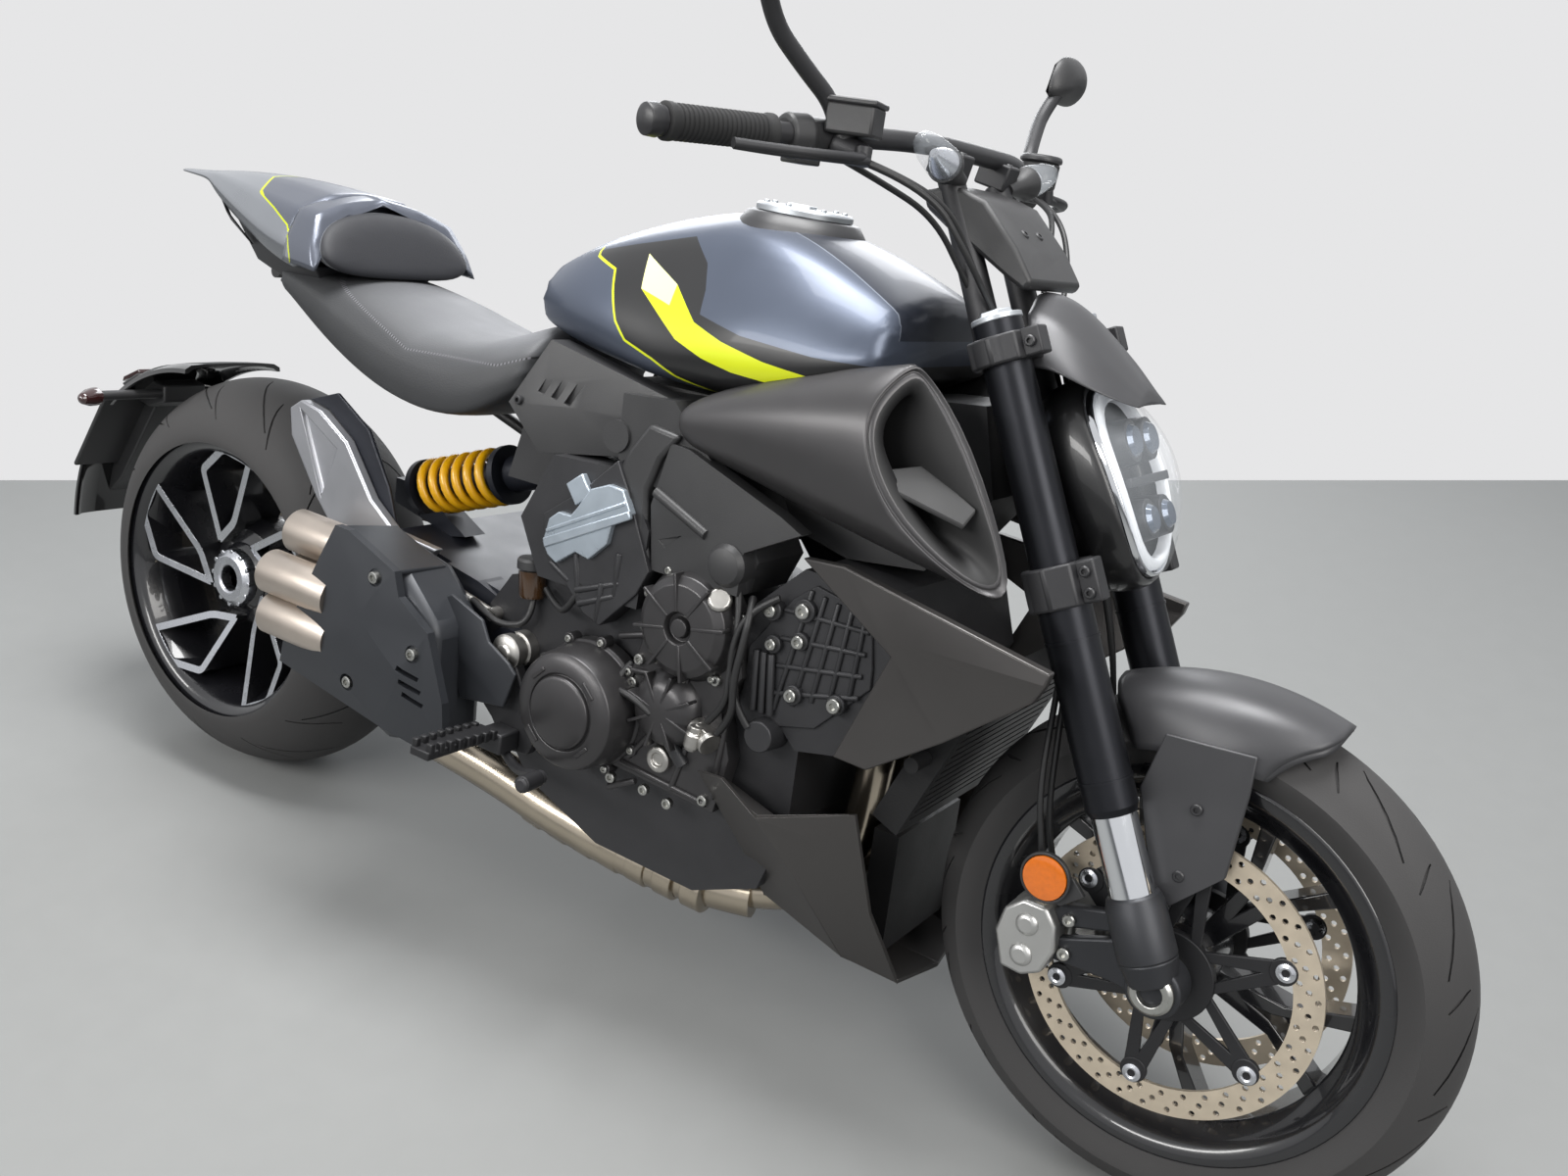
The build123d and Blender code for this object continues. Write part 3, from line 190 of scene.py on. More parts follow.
SKY_SEEN = paint(238, 239, 241)
SKY_LIGHT = paint(214, 219, 226)
SKY_STRENGTH = 0.54
SEEING_RAYS = ("Is Camera Ray", "Is Glossy Ray", "Is Transmission Ray")
rays = world.node_tree.nodes.new("ShaderNodeLightPath")
direct, glossy, through = (Wire(world.node_tree, rays.outputs[kind]) for kind in SEEING_RAYS)
seen = direct.math("MAXIMUM", direct, direct.math("MAXIMUM", glossy, through))
backdrop = seen.node("Background", {}, {"Color": (*SKY_SEEN, 1), "Strength": 1.0})
light = seen.node("Background", {}, {"Color": (*SKY_LIGHT, 1), "Strength": SKY_STRENGTH})
chosen = seen.node("MixShader", {}, {0: seen, 1: light, 2: backdrop})
world.node_tree.links.new(chosen.socket, world.node_tree.nodes["World Output"].inputs["Surface"])


SHEEN_DRIFT = 0.22
CLOUD_DETAIL = 4.0
GRAIN_DETAIL = 3.0


def finish(name, colour, roughness, metallic=0.0, coat=0.0, drift=0.10, patch=0.07, grain=0.0,
           grain_size=0.002, alpha=1.0):
    """A finish whose tone drifts a little, whose sheen is uneven and whose skin has a fine grain.

    Returns the material, its shader node and the wire of its colour, so that more can be added."""
    material = bpy.data.materials.new(name)
    material.use_nodes = True
    tree = material.node_tree
    shader = tree.nodes["Principled BSDF"]
    place = Wire(tree, tree.nodes.new("ShaderNodeTexCoord").outputs["Object"])
    cloud = place.node("TexNoise", {}, {"Vector": place, "Scale": 1 / patch, "Detail": CLOUD_DETAIL})
    dark = tuple(c * (1 - drift) for c in colour)
    bright = tuple(min(1.0, c * (1 + drift)) for c in colour)
    tone = cloud.mix(dark, bright)
    tone.feed(shader, "Base Color")
    sheen = (cloud - 0.5) * SHEEN_DRIFT + roughness
    sheen.feed(shader, "Roughness")
    for socket, value in (("Metallic", metallic), ("Coat Weight", coat), ("Alpha", alpha)):
        shader.inputs[socket].default_value = value
    if grain:
        fine = place.node("TexNoise", {}, {"Vector": place, "Scale": 1 / grain_size, "Detail": GRAIN_DETAIL})
        bump = fine.node("Bump", {}, {"Strength": grain, "Distance": grain_size / 4, "Height": fine})
        bump.feed(shader, "Normal")
    return material, shader, tone


def plain(name, colour, roughness, **looks):
    """A finish that nothing is added to: its material alone."""
    return finish(name, colour, roughness, **looks)[0]


def object_place(shader):
    """Where a shaded point of this finish lies on its object."""
    tree = shader.id_data
    return Wire(tree, tree.nodes["Texture Coordinate"].outputs["Object"])


def where(shader):
    """The machine's own x, y and z in millimetres at a shaded point of this finish."""
    place = object_place(shader)
    local = [place.dot(axis) / MM for axis in (forward, leftward, upward)]
    return [value - axis.dot(ground_point) / MM for value, axis in zip(local, (forward, leftward, upward))]


def mesh_of(name, shape):
    """The drawn shape as a mesh."""
    mesh = bpy.data.meshes.new(name)
    shape.to_mesh(mesh)
    shape.free()
    return mesh


MERGE_MM = 0.02


def put(name, shape, body, looks, stands_for=(), *, bevel=0.0, smooth=0, crease_angle=32):
    """The finished shape as a piece that moves with a body, with its place in its mesh."""
    bmesh.ops.remove_doubles(shape, verts=shape.verts, dist=MERGE_MM)
    bmesh.ops.recalc_face_normals(shape, faces=shape.faces)
    bmesh.ops.transform(shape, matrix=BIKE, verts=shape.verts)
    mesh = mesh_of(name, shape)
    for look in looks if isinstance(looks, list) else [looks]:
        mesh.materials.append(look)
    mesh.shade_smooth()
    if not smooth:
        mesh.set_sharp_from_angle(angle=radians(crease_angle))
    piece = in_scene(name, mesh)
    if bevel:
        rounding = piece.modifiers.new("rounded edges", "BEVEL")
        rounding.width = bevel * MM
        rounding.segments = 2
        rounding.limit_method = "ANGLE"
        rounding.angle_limit = radians(crease_angle)
        rounding.harden_normals = False
    if smooth:
        surface = piece.modifiers.new("smooth surface", "SUBSURF")
        surface.levels = surface.render_levels = smooth
    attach(piece, body)
    if stands_for:
        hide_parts(*stands_for)
    return piece


# The floor is plain grey, and past a line behind the machine it turns into a pale backdrop. The
# line lies where the photograph's does, 110 of its pixels over the middle of the frame. On the
# other sides the floor ends in a circle.
FLOOR_SIZE = 60
SENSOR_MM = 36
PHOTO_WIDTH = 1600
HORIZON_OVER_MIDDLE = 110
ROUND_FLOOR = 3.4
FRAME_FOCAL = LENS_MM / SENSOR_MM * PHOTO_WIDTH
floor_look, shader, _ = finish("grey_floor", paint(130, 131, 130), roughness=0.8, drift=0.05, patch=0.05)
tree = shader.id_data
place = object_place(shader)
turned_up = camera.rotation_quaternion @ Vector((0, FRAME_FOCAL, HORIZON_OVER_MIDDLE))
past_line = place.dot(turned_up) > turned_up.dot(eye)
past_circle = place.node("VectorMath", {"operation": "LENGTH"}, {0: place}, 1) > ROUND_FLOOR
beyond = past_line.math("MAXIMUM", past_line, past_circle)
ray = Wire(tree, tree.nodes.new("ShaderNodeLightPath").outputs["Is Camera Ray"])
pale = ray.node("Emission", {}, {"Color": (*paint(230, 230, 231), 1), "Strength": 1.0})
grey = Wire(tree, shader.outputs[0])
mixed = ray.node("MixShader", {}, {0: beyond * ray, 1: grey, 2: pale})
tree.links.new(mixed.socket, tree.nodes["Material Output"].inputs["Surface"])
floor_shape = bmesh.new()
bmesh.ops.create_grid(floor_shape, x_segments=1, y_segments=1, size=FLOOR_SIZE / 2)
floor = in_scene("floor", mesh_of("floor", floor_shape))
floor.data.materials.append(floor_look)


# The tyres are cast rubber with a round crown, greyed by use, cut by slanted sipes in mirrored
# pairs and stretched onto the rims' bead seats.
RUBBER = paint(52, 51, 51)
TREAD_DEPTH = 3.0
SHOULDER_ANGLE = 60
SIPE_STEPS = 5
SIPE_HALF = 0.5
SIPE_SWELL = 1.4
SMOOTH_ROUND = 112
rubber = plain("rubber", RUBBER, roughness=0.78, drift=0.16, patch=0.05, grain=0.35, grain_size=0.0016)


def turned(shape, profile, centre, steps=96, arc=2 * pi, closed=False):
    """A profile of y and radius, spun about an axle that lies across the machine."""
    corners = [shape.verts.new((centre[0], y, centre[2] + r)) for y, r in profile]
    pairs = list(zip(corners, corners[1:])) + ([(corners[-1], corners[0])] if closed else [])
    edges = [shape.edges.new(pair) for pair in pairs]
    bmesh.ops.spin(shape, geom=corners + edges, cent=(centre[0], 0, centre[2]), axis=(0, 1, 0), angle=arc,
                   steps=steps, use_merge=arc == 2 * pi)


def bar(shape, start, end, radius, far_radius=None, sides=24):
    """A round bar, or with a second radius a cone, between two points."""
    start, end = Vector(start), Vector(end)
    turn = (end - start).to_track_quat("Z", "Y").to_matrix().to_4x4()
    bmesh.ops.create_cone(
        shape, cap_ends=True, segments=sides, radius1=radius,
        radius2=radius if far_radius is None else far_radius, depth=(end - start).length,
        matrix=Matrix.Translation((start + end) / 2) @ turn)


def slab(shape, outline, y_from, y_to):
    """A side outline in x and z, given its thickness across the machine."""
    y_low, y_high = sorted((y_from, y_to))
    face = shape.faces.new([shape.verts.new((x, y_low, z)) for x, z in outline])
    made = bmesh.ops.extrude_face_region(shape, geom=[face])["geom"]
    corners = [part for part in made if isinstance(part, bmesh.types.BMVert)]
    bmesh.ops.translate(shape, vec=(0, y_high - y_low, 0), verts=corners)
    return list(face.verts) + corners


def tilt(degrees, axis="Y"):
    """A turn about one of the machine's own ways."""
    return Matrix.Rotation(radians(degrees), 4, axis)


def block(shape, centre, size, turn=Matrix.Identity(4)):
    """A rectangular block about a centre, turned as asked."""
    scale = Matrix.Diagonal((*size, 1))
    bmesh.ops.create_cube(shape, size=1, matrix=Matrix.Translation(Vector(centre)) @ turn @ scale)


def cut(shape, tool):
    """The shape less the tool."""
    holders = []
    for one in (shape, tool):
        bmesh.ops.recalc_face_normals(one, faces=one.faces)
        holders.append(in_scene("work", mesh_of("work", one)))
    step = holders[0].modifiers.new("cut", "BOOLEAN")
    step.object = holders[1]
    step.operation = "DIFFERENCE"
    step.solver = "EXACT"
    result = bmesh.new()
    result.from_object(holders[0], bpy.context.evaluated_depsgraph_get())
    for holder in holders:
        bpy.data.objects.remove(holder)
    return result


def spin_about(centre, degrees):
    """The turn about an axle that lies across the machine."""
    middle = Matrix.Translation(Vector(centre))
    return middle @ tilt(degrees) @ middle.inverted()


def crown_point(radius, crown_r, angle):
    """A tyre's crown at an angle from its middle, as y and radius."""
    return crown_r * sin(radians(angle)), radius - crown_r + crown_r * cos(radians(angle))


def tube(shape, rings):
    """A closed skin through rings of points of equal counts."""
    rows = [[shape.verts.new(p) for p in ring] for ring in rings]
    for near, far in zip(rows, rows[1:]):
        for n in range(len(near)):
            after = (n + 1) % len(near)
            shape.faces.new((near[n], near[after], far[after], far[n]))
    shape.faces.new(rows[0])
    shape.faces.new(rows[-1])


def sipe(shape, path):
    """A blade that cuts one groove: its points on the crown with their outward ways, widest in the middle."""
    rings = []
    for s, (spot, out) in enumerate(path):
        near, far = path[max(0, s - 1)][0], path[min(SIPE_STEPS, s + 1)][0]
        half = SIPE_HALF + SIPE_SWELL * sin(pi * (0.12 + 0.76 * s / SIPE_STEPS))
        across = out.cross((far - near).normalized()).normalized() * half
        rings.append([spot + across + out * TREAD_DEPTH, spot - across + out * TREAD_DEPTH,
                      spot - across - out * TREAD_DEPTH, spot + across - out * TREAD_DEPTH])
    tube(shape, rings)


def tyre(name, body, centre, radius, width, crown_r, seat_r, rim_width, sipes):
    """One tyre: crown, shoulders and walls, with its sipes cut in."""
    crown = [crown_point(radius, crown_r, a) for a in range(0, SHOULDER_ANGLE + 1, 6)]
    wall = [(width / 2, radius - crown_r * 0.70), (width / 2 - 1, radius - crown_r * 0.80),
            (rim_width / 2 + 2, seat_r + 22), (rim_width / 2 - 3, seat_r + 12), (rim_width / 2 - 9, seat_r)]
    half = crown + wall
    ring = bmesh.new()
    turned(ring, half + [(-y, r) for y, r in reversed(half) if y > 0], centre, steps=SMOOTH_ROUND,
           closed=True)
    blades = bmesh.new()
    for count, start_angle, end_angle, sweep, offset in sipes:
        for n in range(count):
            for side in (-1, 1):
                first = offset + 360 / count * (n + (0.5 if side > 0 else 0))
                path = []
                for s in range(SIPE_STEPS + 1):
                    share = s / SIPE_STEPS
                    y, r = crown_point(radius, crown_r, start_angle + (end_angle - start_angle) * share)
                    around = spin_about(centre, first + sweep * share ** 1.4)
                    out = Vector((0, side * y / crown_r, 1 - abs(y) / crown_r)).normalized()
                    path.append((around @ Vector((centre[0], side * y, centre[2] + r)),
                                 around.to_3x3() @ out))
                sipe(blades, path)
    put(name, cut(ring, blades), body, rubber, [name], crease_angle=40)


tyre("rear_tyre", "rear_wheel", REAR_AXLE, REAR_R, 240, 125, 219, 222,
     [(13, 8, 52, 19, 0), (13, 26, 60, 10, 14)])


# The rear wheel is one aluminium casting, painted gloss black, with five hollow spokes whose
# outlines are machined bright. A big nut holds it on the hollow axle from the right.
GLOSS_BLACK = paint(20, 20, 23)
BRIGHT = paint(196, 198, 203)
SPOKES = 5
SPOKE_CORNERS = [(222, 92), (222, 72), (88, 90), (64, 138), (186, 112)]
SPOKE_CORNER_R = 11
SPOKE_WALL = 12
SPOKE_DEPTH = 74
FACE_AT_HUB = -70
FACE_AT_RIM = -103
HUB_R = 60
RIM_R = 219
wheel_black = plain("wheel_black", GLOSS_BLACK, roughness=0.26, coat=0.7, drift=0.1)
machined = plain("machined_aluminium", BRIGHT, metallic=1.0, roughness=0.27, drift=0.05, patch=0.02,
                 grain=0.12, grain_size=0.0012)


def polar(radius, angle):
    """A distance and an angle in degrees as two lengths."""
    return radius * cos(radians(angle)), radius * sin(radians(angle))


def barrel(shape, centre, seat_r, width):
    """A rim's two flanges, bead seats and dropped centre."""
    edge, seat, well = width / 2, width / 2 - 9, width / 4
    outer = [(edge, seat_r + 13), (edge - 3, seat_r + 15), (edge - 8, seat_r + 14), (seat, seat_r),
             (well, seat_r - 20)]
    inner = [(well, seat_r - 29), (edge - 14, seat_r - 12), (edge - 5, seat_r - 7), (edge, seat_r + 2)]
    profile = outer + [(-y, r) for y, r in outer[::-1]] + [(-y, r) for y, r in inner[::-1]] + inner
    turned(shape, profile, centre, steps=SMOOTH_ROUND, closed=True)


def join(shape, part):
    """Adds a part that was drawn by itself."""
    shape.from_mesh(mesh_of("part", part))


rim = bmesh.new()
barrel(rim, REAR_AXLE, RIM_R, 222)
turned(rim, [(-66, 30), (-68, 44), (-58, 56), (-20, 66), (40, 66), (52, 58), (52, 30)], REAR_AXLE,
       closed=True)
turned(rim, [(-58, 50), (-50, 78), (-30, 96), (20, 96), (40, 60)], REAR_AXLE)
for n in range(SPOKES):
    loop = bmesh.new()
    corners = [loop.verts.new((a, FACE_AT_HUB, REAR_R + b)) for a, b in (polar(*c) for c in SPOKE_CORNERS)]
    loop.faces.new(corners)
    bmesh.ops.bevel(loop, geom=list(loop.verts), offset=SPOKE_CORNER_R, segments=4, profile=0.5,
                    affect="VERTICES", material=-1)
    face = max(loop.faces, key=lambda f: f.calc_area())
    bmesh.ops.inset_individual(loop, faces=[face], thickness=SPOKE_WALL, use_even_offset=True)
    bmesh.ops.delete(loop, geom=[face], context="FACES")
    for f in loop.faces:
        f.material_index = 1
    made = bmesh.ops.extrude_face_region(loop, geom=list(loop.faces))["geom"]
    back = [part for part in made if isinstance(part, bmesh.types.BMVert)]
    bmesh.ops.translate(loop, vec=(0, SPOKE_DEPTH, 0), verts=back)
    loop.normal_update()
    for f in loop.faces:
        if abs(f.normal.y) < 0.5 or f.calc_center_median().y > FACE_AT_HUB + 1:
            f.material_index = 0
    for v in loop.verts:
        reach = Vector((v.co.x, v.co.z - REAR_R)).length
        share = min(1.0, max(0.0, (reach - HUB_R) / (RIM_R - HUB_R)))
        v.co.y += (FACE_AT_RIM - FACE_AT_HUB) * share if v.co.y < FACE_AT_HUB + 1 else 0
    bmesh.ops.transform(loop, matrix=spin_about(REAR_AXLE, -n * 360 / SPOKES), verts=loop.verts)
    join(rim, loop)
put("rear_rim", rim, "rear_wheel", [wheel_black, machined], ["rear_rim"], bevel=1.6)

nut = bmesh.new()
turned(nut, [(-66, 21), (-84, 21), (-87, 24), (-87, 37), (-80, 46), (-66, 48)], REAR_AXLE, closed=True)
for n in range(12):
    a, b = polar(44, n * 30)
    bar(nut, (a, -83, REAR_R + b), (a, -66, REAR_R + b), 4.2, sides=12)
put("rear_axle_nut", nut, "rear_wheel", machined, bevel=0.8)


# The front wheel is one aluminium casting with five spokes that fork towards the rim, painted gloss
# black. Its hub turns on the hollow axle.
FRONT_SPOKE_MID = -14.5
FORK_HALF_ANGLE = 15.5
FRONT_RIM_R = 216
SPOKE_END = 206
rim = bmesh.new()
barrel(rim, FRONT_AXLE, FRONT_RIM_R, 102)
turned(rim, [(-58, 18), (-58, 36), (-34, 44), (34, 44), (58, 36), (58, 18)], FRONT_AXLE, closed=True)
for n in range(SPOKES):
    mid = FRONT_SPOKE_MID + n * 360 / SPOKES
    for side in (-1, 1):
        arm = [polar(38, mid - side * 12), polar(38, mid + side * 18), polar(118, mid + side * 10),
               polar(SPOKE_END, mid + side * (FORK_HALF_ANGLE + 3.4)),
               polar(SPOKE_END, mid + side * (FORK_HALF_ANGLE - 2.4)), polar(110, mid + side * 2.0)]
        verts = slab(rim, [(WHEELBASE + a, FRONT_R + b) for a, b in arm], -15, 15)
        for v in verts:
            reach = Vector((v.co.x - WHEELBASE, v.co.z - FRONT_R)).length
            v.co.y *= 1.5 - 0.35 * reach / SPOKE_END
put("front_rim", rim, "front_wheel", wheel_black, ["front_rim"], bevel=3.5)

tyre("front_tyre", "front_wheel", FRONT_AXLE, FRONT_R, 122, 60, FRONT_RIM_R, 102,
     [(14, 8, 50, 18, 0), (14, 24, 52, 4, 21)])


# The brake discs are ground steel rings, drilled through in staggered rows, that float on buttons
# round a black carrier with open arms. The rear disc is smaller and sits on the left of the hub.
DISC_R = 165
DISC_IN_R = 133
DISC_Y = 68
DISC_T = 5
HOLE_R = 3.4
HOLE_ROWS = (140, 149, 158)
HOLES_ROUND = 36
BOBBINS = 6
BOBBIN_R = 118
disc_steel = plain("disc_steel", paint(205, 192, 172), metallic=0.75, roughness=0.38, drift=0.14, patch=0.02)
carrier_black = plain("carrier_black", paint(30, 30, 32), metallic=0.3, roughness=0.5, grain=0.2,
                      grain_size=0.0015)


def drilled_ring(centre, y_low, thickness, inner_r, outer_r, rows, holes):
    """A flat ring with rows of drilled holes, each row turned on from the last."""
    ring = bmesh.new()
    turned(ring, [(y_low, inner_r), (y_low, outer_r), (y_low + thickness, outer_r),
                  (y_low + thickness, inner_r)], centre, steps=120, closed=True)
    drills = bmesh.new()
    for row, reach in enumerate(rows):
        for n in range(holes):
            a, b = polar(reach, 360 / holes * (n + row / len(rows)) + 3 * row)
            x, z = centre[0] + a, centre[2] + b
            bar(drills, (x, y_low - 4, z), (x, y_low + thickness + 4, z), HOLE_R, sides=10)
    return cut(ring, drills)


for side, name in ((-1, "right"), (1, "left")):
    inner_y = side * DISC_Y - DISC_T / 2
    ring = drilled_ring(FRONT_AXLE, inner_y, DISC_T, DISC_IN_R, DISC_R, HOLE_ROWS, HOLES_ROUND)
    put("front_disc_" + name, ring, "front_wheel", disc_steel, ["front_discs"] if side < 0 else [],
        bevel=0.5)
    carrier = bmesh.new()
    turned(carrier, [(inner_y - 3, 24), (inner_y - 3, 52), (inner_y + DISC_T + 3, 52),
                     (inner_y + DISC_T + 3, 24)], FRONT_AXLE, steps=64, closed=True)
    for n in range(BOBBINS):
        a = 25 + n * 360 / BOBBINS
        for lean in (-1, 1):
            foot = a + lean * 22
            arm = [polar(47, foot - lean * 7), polar(47, foot + lean * 9),
                   polar(BOBBIN_R + 8, a + lean * 5.5), polar(BOBBIN_R + 8, a - lean * 0.5),
                   polar(BOBBIN_R - 12, a - lean * 0.5)]
            slab(carrier, [(WHEELBASE + x, FRONT_R + z) for x, z in arm], inner_y, inner_y + DISC_T)
        x, z = polar(BOBBIN_R + 8, a)
        bar(carrier, (WHEELBASE + x, inner_y - 1, FRONT_R + z),
            (WHEELBASE + x, inner_y + DISC_T + 1, FRONT_R + z), 15)
    put("front_carrier_" + name, carrier, "front_wheel", carrier_black, bevel=1.0)
    buttons = bmesh.new()
    for n in range(BOBBINS):
        x, z = polar(BOBBIN_R + 11, 25 + n * 360 / BOBBINS)
        out = side * (DISC_Y + DISC_T / 2)
        spot = (WHEELBASE + x, 0, FRONT_R + z)
        button = [(out - side * 6, 4.5), (out + side * 3.5, 4.5), (out + side * 4.5, 6.5),
                  (out + side * 3, 10.5), (out - side * 6, 10.5)]
        turned(buttons, button, spot, steps=24, closed=True)
    put("front_disc_buttons_" + name, buttons, "front_wheel", machined)

ring = drilled_ring(REAR_AXLE, 59, 6, 90, 132.5, (102, 112, 122), 30)
put("rear_disc", ring, "rear_wheel", disc_steel, ["rear_disc"], bevel=0.5)
carrier = bmesh.new()
turned(carrier, [(50, 34), (50, 62), (57, 94), (64, 94), (66, 34)], REAR_AXLE, steps=64, closed=True)
put("rear_disc_carrier", carrier, "rear_wheel", carrier_black, bevel=1.0)


# The tank is pressed steel in satin graphite blue, with black panels on its flanks, a thin lime
# outline round each panel, a broad lime stripe folded over it, and a separate cover on its top.
SLATE = paint(80, 87, 101)
PANEL_BLACK = paint(22, 22, 23)
LIME = paint(208, 218, 24)
# The pale lime is the stripe's lime paint with a painted highlight of glare mixed in; it fills the stripe's
# upper leaf.
LIME_WITH_GLARE = paint(244, 246, 170)
COVER_GREY = paint(52, 56, 66)
# The light cover edge colour is a painted highlight along the top cover's seam.
COVER_SEAM_HIGHLIGHT = paint(128, 134, 146)
OUTLINE = [(698, 955), (705, 945), (751, 934), (763, 912), (785, 875), (806, 855), (854, 841), (890, 826),
           (958, 812), (1180, 800)]
CREST = [(698, 950), (760, 966), (855, 988), (895, 960), (911, 930), (916, 903), (987, 890), (1090, 884),
         (1180, 886)]
GLARED_LEAF = [(793, 958), (807, 917), (862, 893), (861, 930)]
SWEEP = [[(807, 917), (888, 869), (911, 893), (862, 905)], [(862, 893), (888, 869), (911, 893), (861, 930)],
         [(888, 869), (935, 855), (961, 879), (911, 893)], [(935, 855), (982, 847), (1027, 867), (961, 879)],
         [(982, 847), (1041, 844), (1095, 861), (1027, 867)]]
TOP_COVER = [(940, 52), (987, 71), (1126, 109), (1180, 122)]
PANEL_REAR = 699.0
OUTLINE_REAR = 696.0
OUTLINE_FRONT = 957.0
OUTLINE_ALONG = 2.2
OUTLINE_DOWN = 2.6
COVER_REAR = 942.0
COVER_FOOT = 915.0
SEAM_HIGHLIGHT_WIDTH = 1.8
TANK_METAL = 0.55


def halves(rings):
    """Whole closed rings from half rings of y and z at each x, which start and end on the middle."""
    whole = []
    for x, half in rings:
        right = [Vector((x, -y, z)) for y, z in half]
        left = [Vector((x, y, z)) for y, z in reversed(half) if y > 0]
        whole.append(right + left)
    return whole


def on_fork(height, ahead=0.0, y=0.0):
    """A point by its height up the steering axis from the ground and its distance ahead of it."""
    up = Vector((-sin(RAKE), 0, cos(RAKE)))
    front = Vector((cos(RAKE), 0, sin(RAKE)))
    return Vector((STEER_GROUND, y, 0)) + up * height + front * ahead


def fork_halves(rings):
    """Whole rings, ahead of the steering axis, from half rings of y and height."""
    return [[on_fork(v.z, v.x, v.y) for v in ring] for ring in halves(rings)]


def lofted(shape, rings, creased=(), look=0, ends=True, crease=0.8):
    """A skin through closed rings of equal counts. The rows named, and both ends, stay sharp."""
    layer = shape.edges.layers.float.get("crease_edge") or shape.edges.layers.float.new("crease_edge")
    rows = [[shape.verts.new(p) for p in ring] for ring in rings]
    count = len(rows[0])
    for near, far in zip(rows, rows[1:]):
        for n in range(count):
            face = shape.faces.new((near[n], near[(n + 1) % count], far[(n + 1) % count], far[n]))
            face.material_index = look
            if n in creased:
                shape.edges.get((near[n], far[n]))[layer] = crease
    if ends:
        for row in (rows[0], rows[-1]):
            shape.faces.new(row).material_index = look
            for n in range(count):
                shape.edges.get((row[n], row[(n + 1) % count]))[layer] = crease


def both_rows(rows, half_count):
    """The rows of a half ring and of its mirror image."""
    return set(rows) | {2 * half_count - 2 - n for n in rows if n > 0}


def height_along(across, points):
    """The height of a broken line, at a wire that runs along it."""
    (first, _), (last, _) = points[0], points[-1]
    lows = min(z for _, z in points)
    span = max(z for _, z in points) - lows
    stops = [((x - first) / (last - first), ((z - lows) / span,) * 3) for x, z in points]
    place = (across - first) / (last - first)
    ramp = place.node("ValToRGB", {"stops": stops}, {0: place})
    return ramp * span + lows


def within(across, up, corners):
    """1 inside a convex outline."""
    middle = [sum(values) / len(corners) for values in zip(*corners)]
    inside = None
    for (a, b), (c, d) in zip(corners, corners[1:] + corners[:1]):
        run = Vector((c - a, d - b)).normalized()
        side = Vector((-run.y, run.x))
        if side.dot(Vector(middle) - Vector((a, b))) < 0:
            side = -side
        past = across * side.x + up * side.y - (a * side.x + b * side.y)
        inside = past if inside is None else inside.math("MINIMUM", inside, past)
    return inside > 0.0


STEER_GROUND = 1705
RAKE_DEGREES = 26
RAKE = radians(RAKE_DEGREES)
tank_paint, shader, tone = finish("tank_paint", SLATE, metallic=TANK_METAL, roughness=0.36, coat=0.12,
                                  drift=0.06, patch=0.12, grain=0.05, grain_size=0.0007)
x, y, z = where(shader)
flank = y.math("ABSOLUTE", y)
ahead = z > height_along(x, OUTLINE)
nearly = (z + OUTLINE_DOWN) > height_along(x + OUTLINE_ALONG, OUTLINE)
panel_mask = ahead * (z < height_along(x, CREST)) * (x > PANEL_REAR)
outline_mask = (nearly - ahead) * (x > OUTLINE_REAR) * (x < OUTLINE_FRONT)
sweep = within(x, z, SWEEP[0])
for quad in SWEEP[1:]:
    sweep = sweep.math("MAXIMUM", sweep, within(x, z, quad))
glared_leaf = within(x, z, GLARED_LEAF)
top_edge = height_along(x, TOP_COVER)
on_top = (x > COVER_REAR) * (z > COVER_FOOT)
cover_mask = (flank < top_edge) * on_top
# Painted highlight: a thin light line along the top cover's edge seam.
seam_highlight_mask = (flank < top_edge + SEAM_HIGHLIGHT_WIDTH) * on_top - cover_mask
colour = panel_mask.mix(tone, PANEL_BLACK)
colour = outline_mask.mix(colour, LIME)
# Painted highlight: the stripe's upper leaf is coloured pale lime, as glare on the lime paint.
colour = glared_leaf.mix(colour, LIME_WITH_GLARE)
colour = sweep.mix(colour, LIME)
colour = cover_mask.mix(colour, COVER_GREY)
colour = seam_highlight_mask.mix(colour, COVER_SEAM_HIGHLIGHT)
colour.feed(shader, "Base Color")
flat_paint = panel_mask
for mask in (outline_mask, glared_leaf, sweep):
    flat_paint = flat_paint.math("MAXIMUM", flat_paint, mask)
((1.0 - flat_paint) * TANK_METAL).feed(shader, "Metallic")

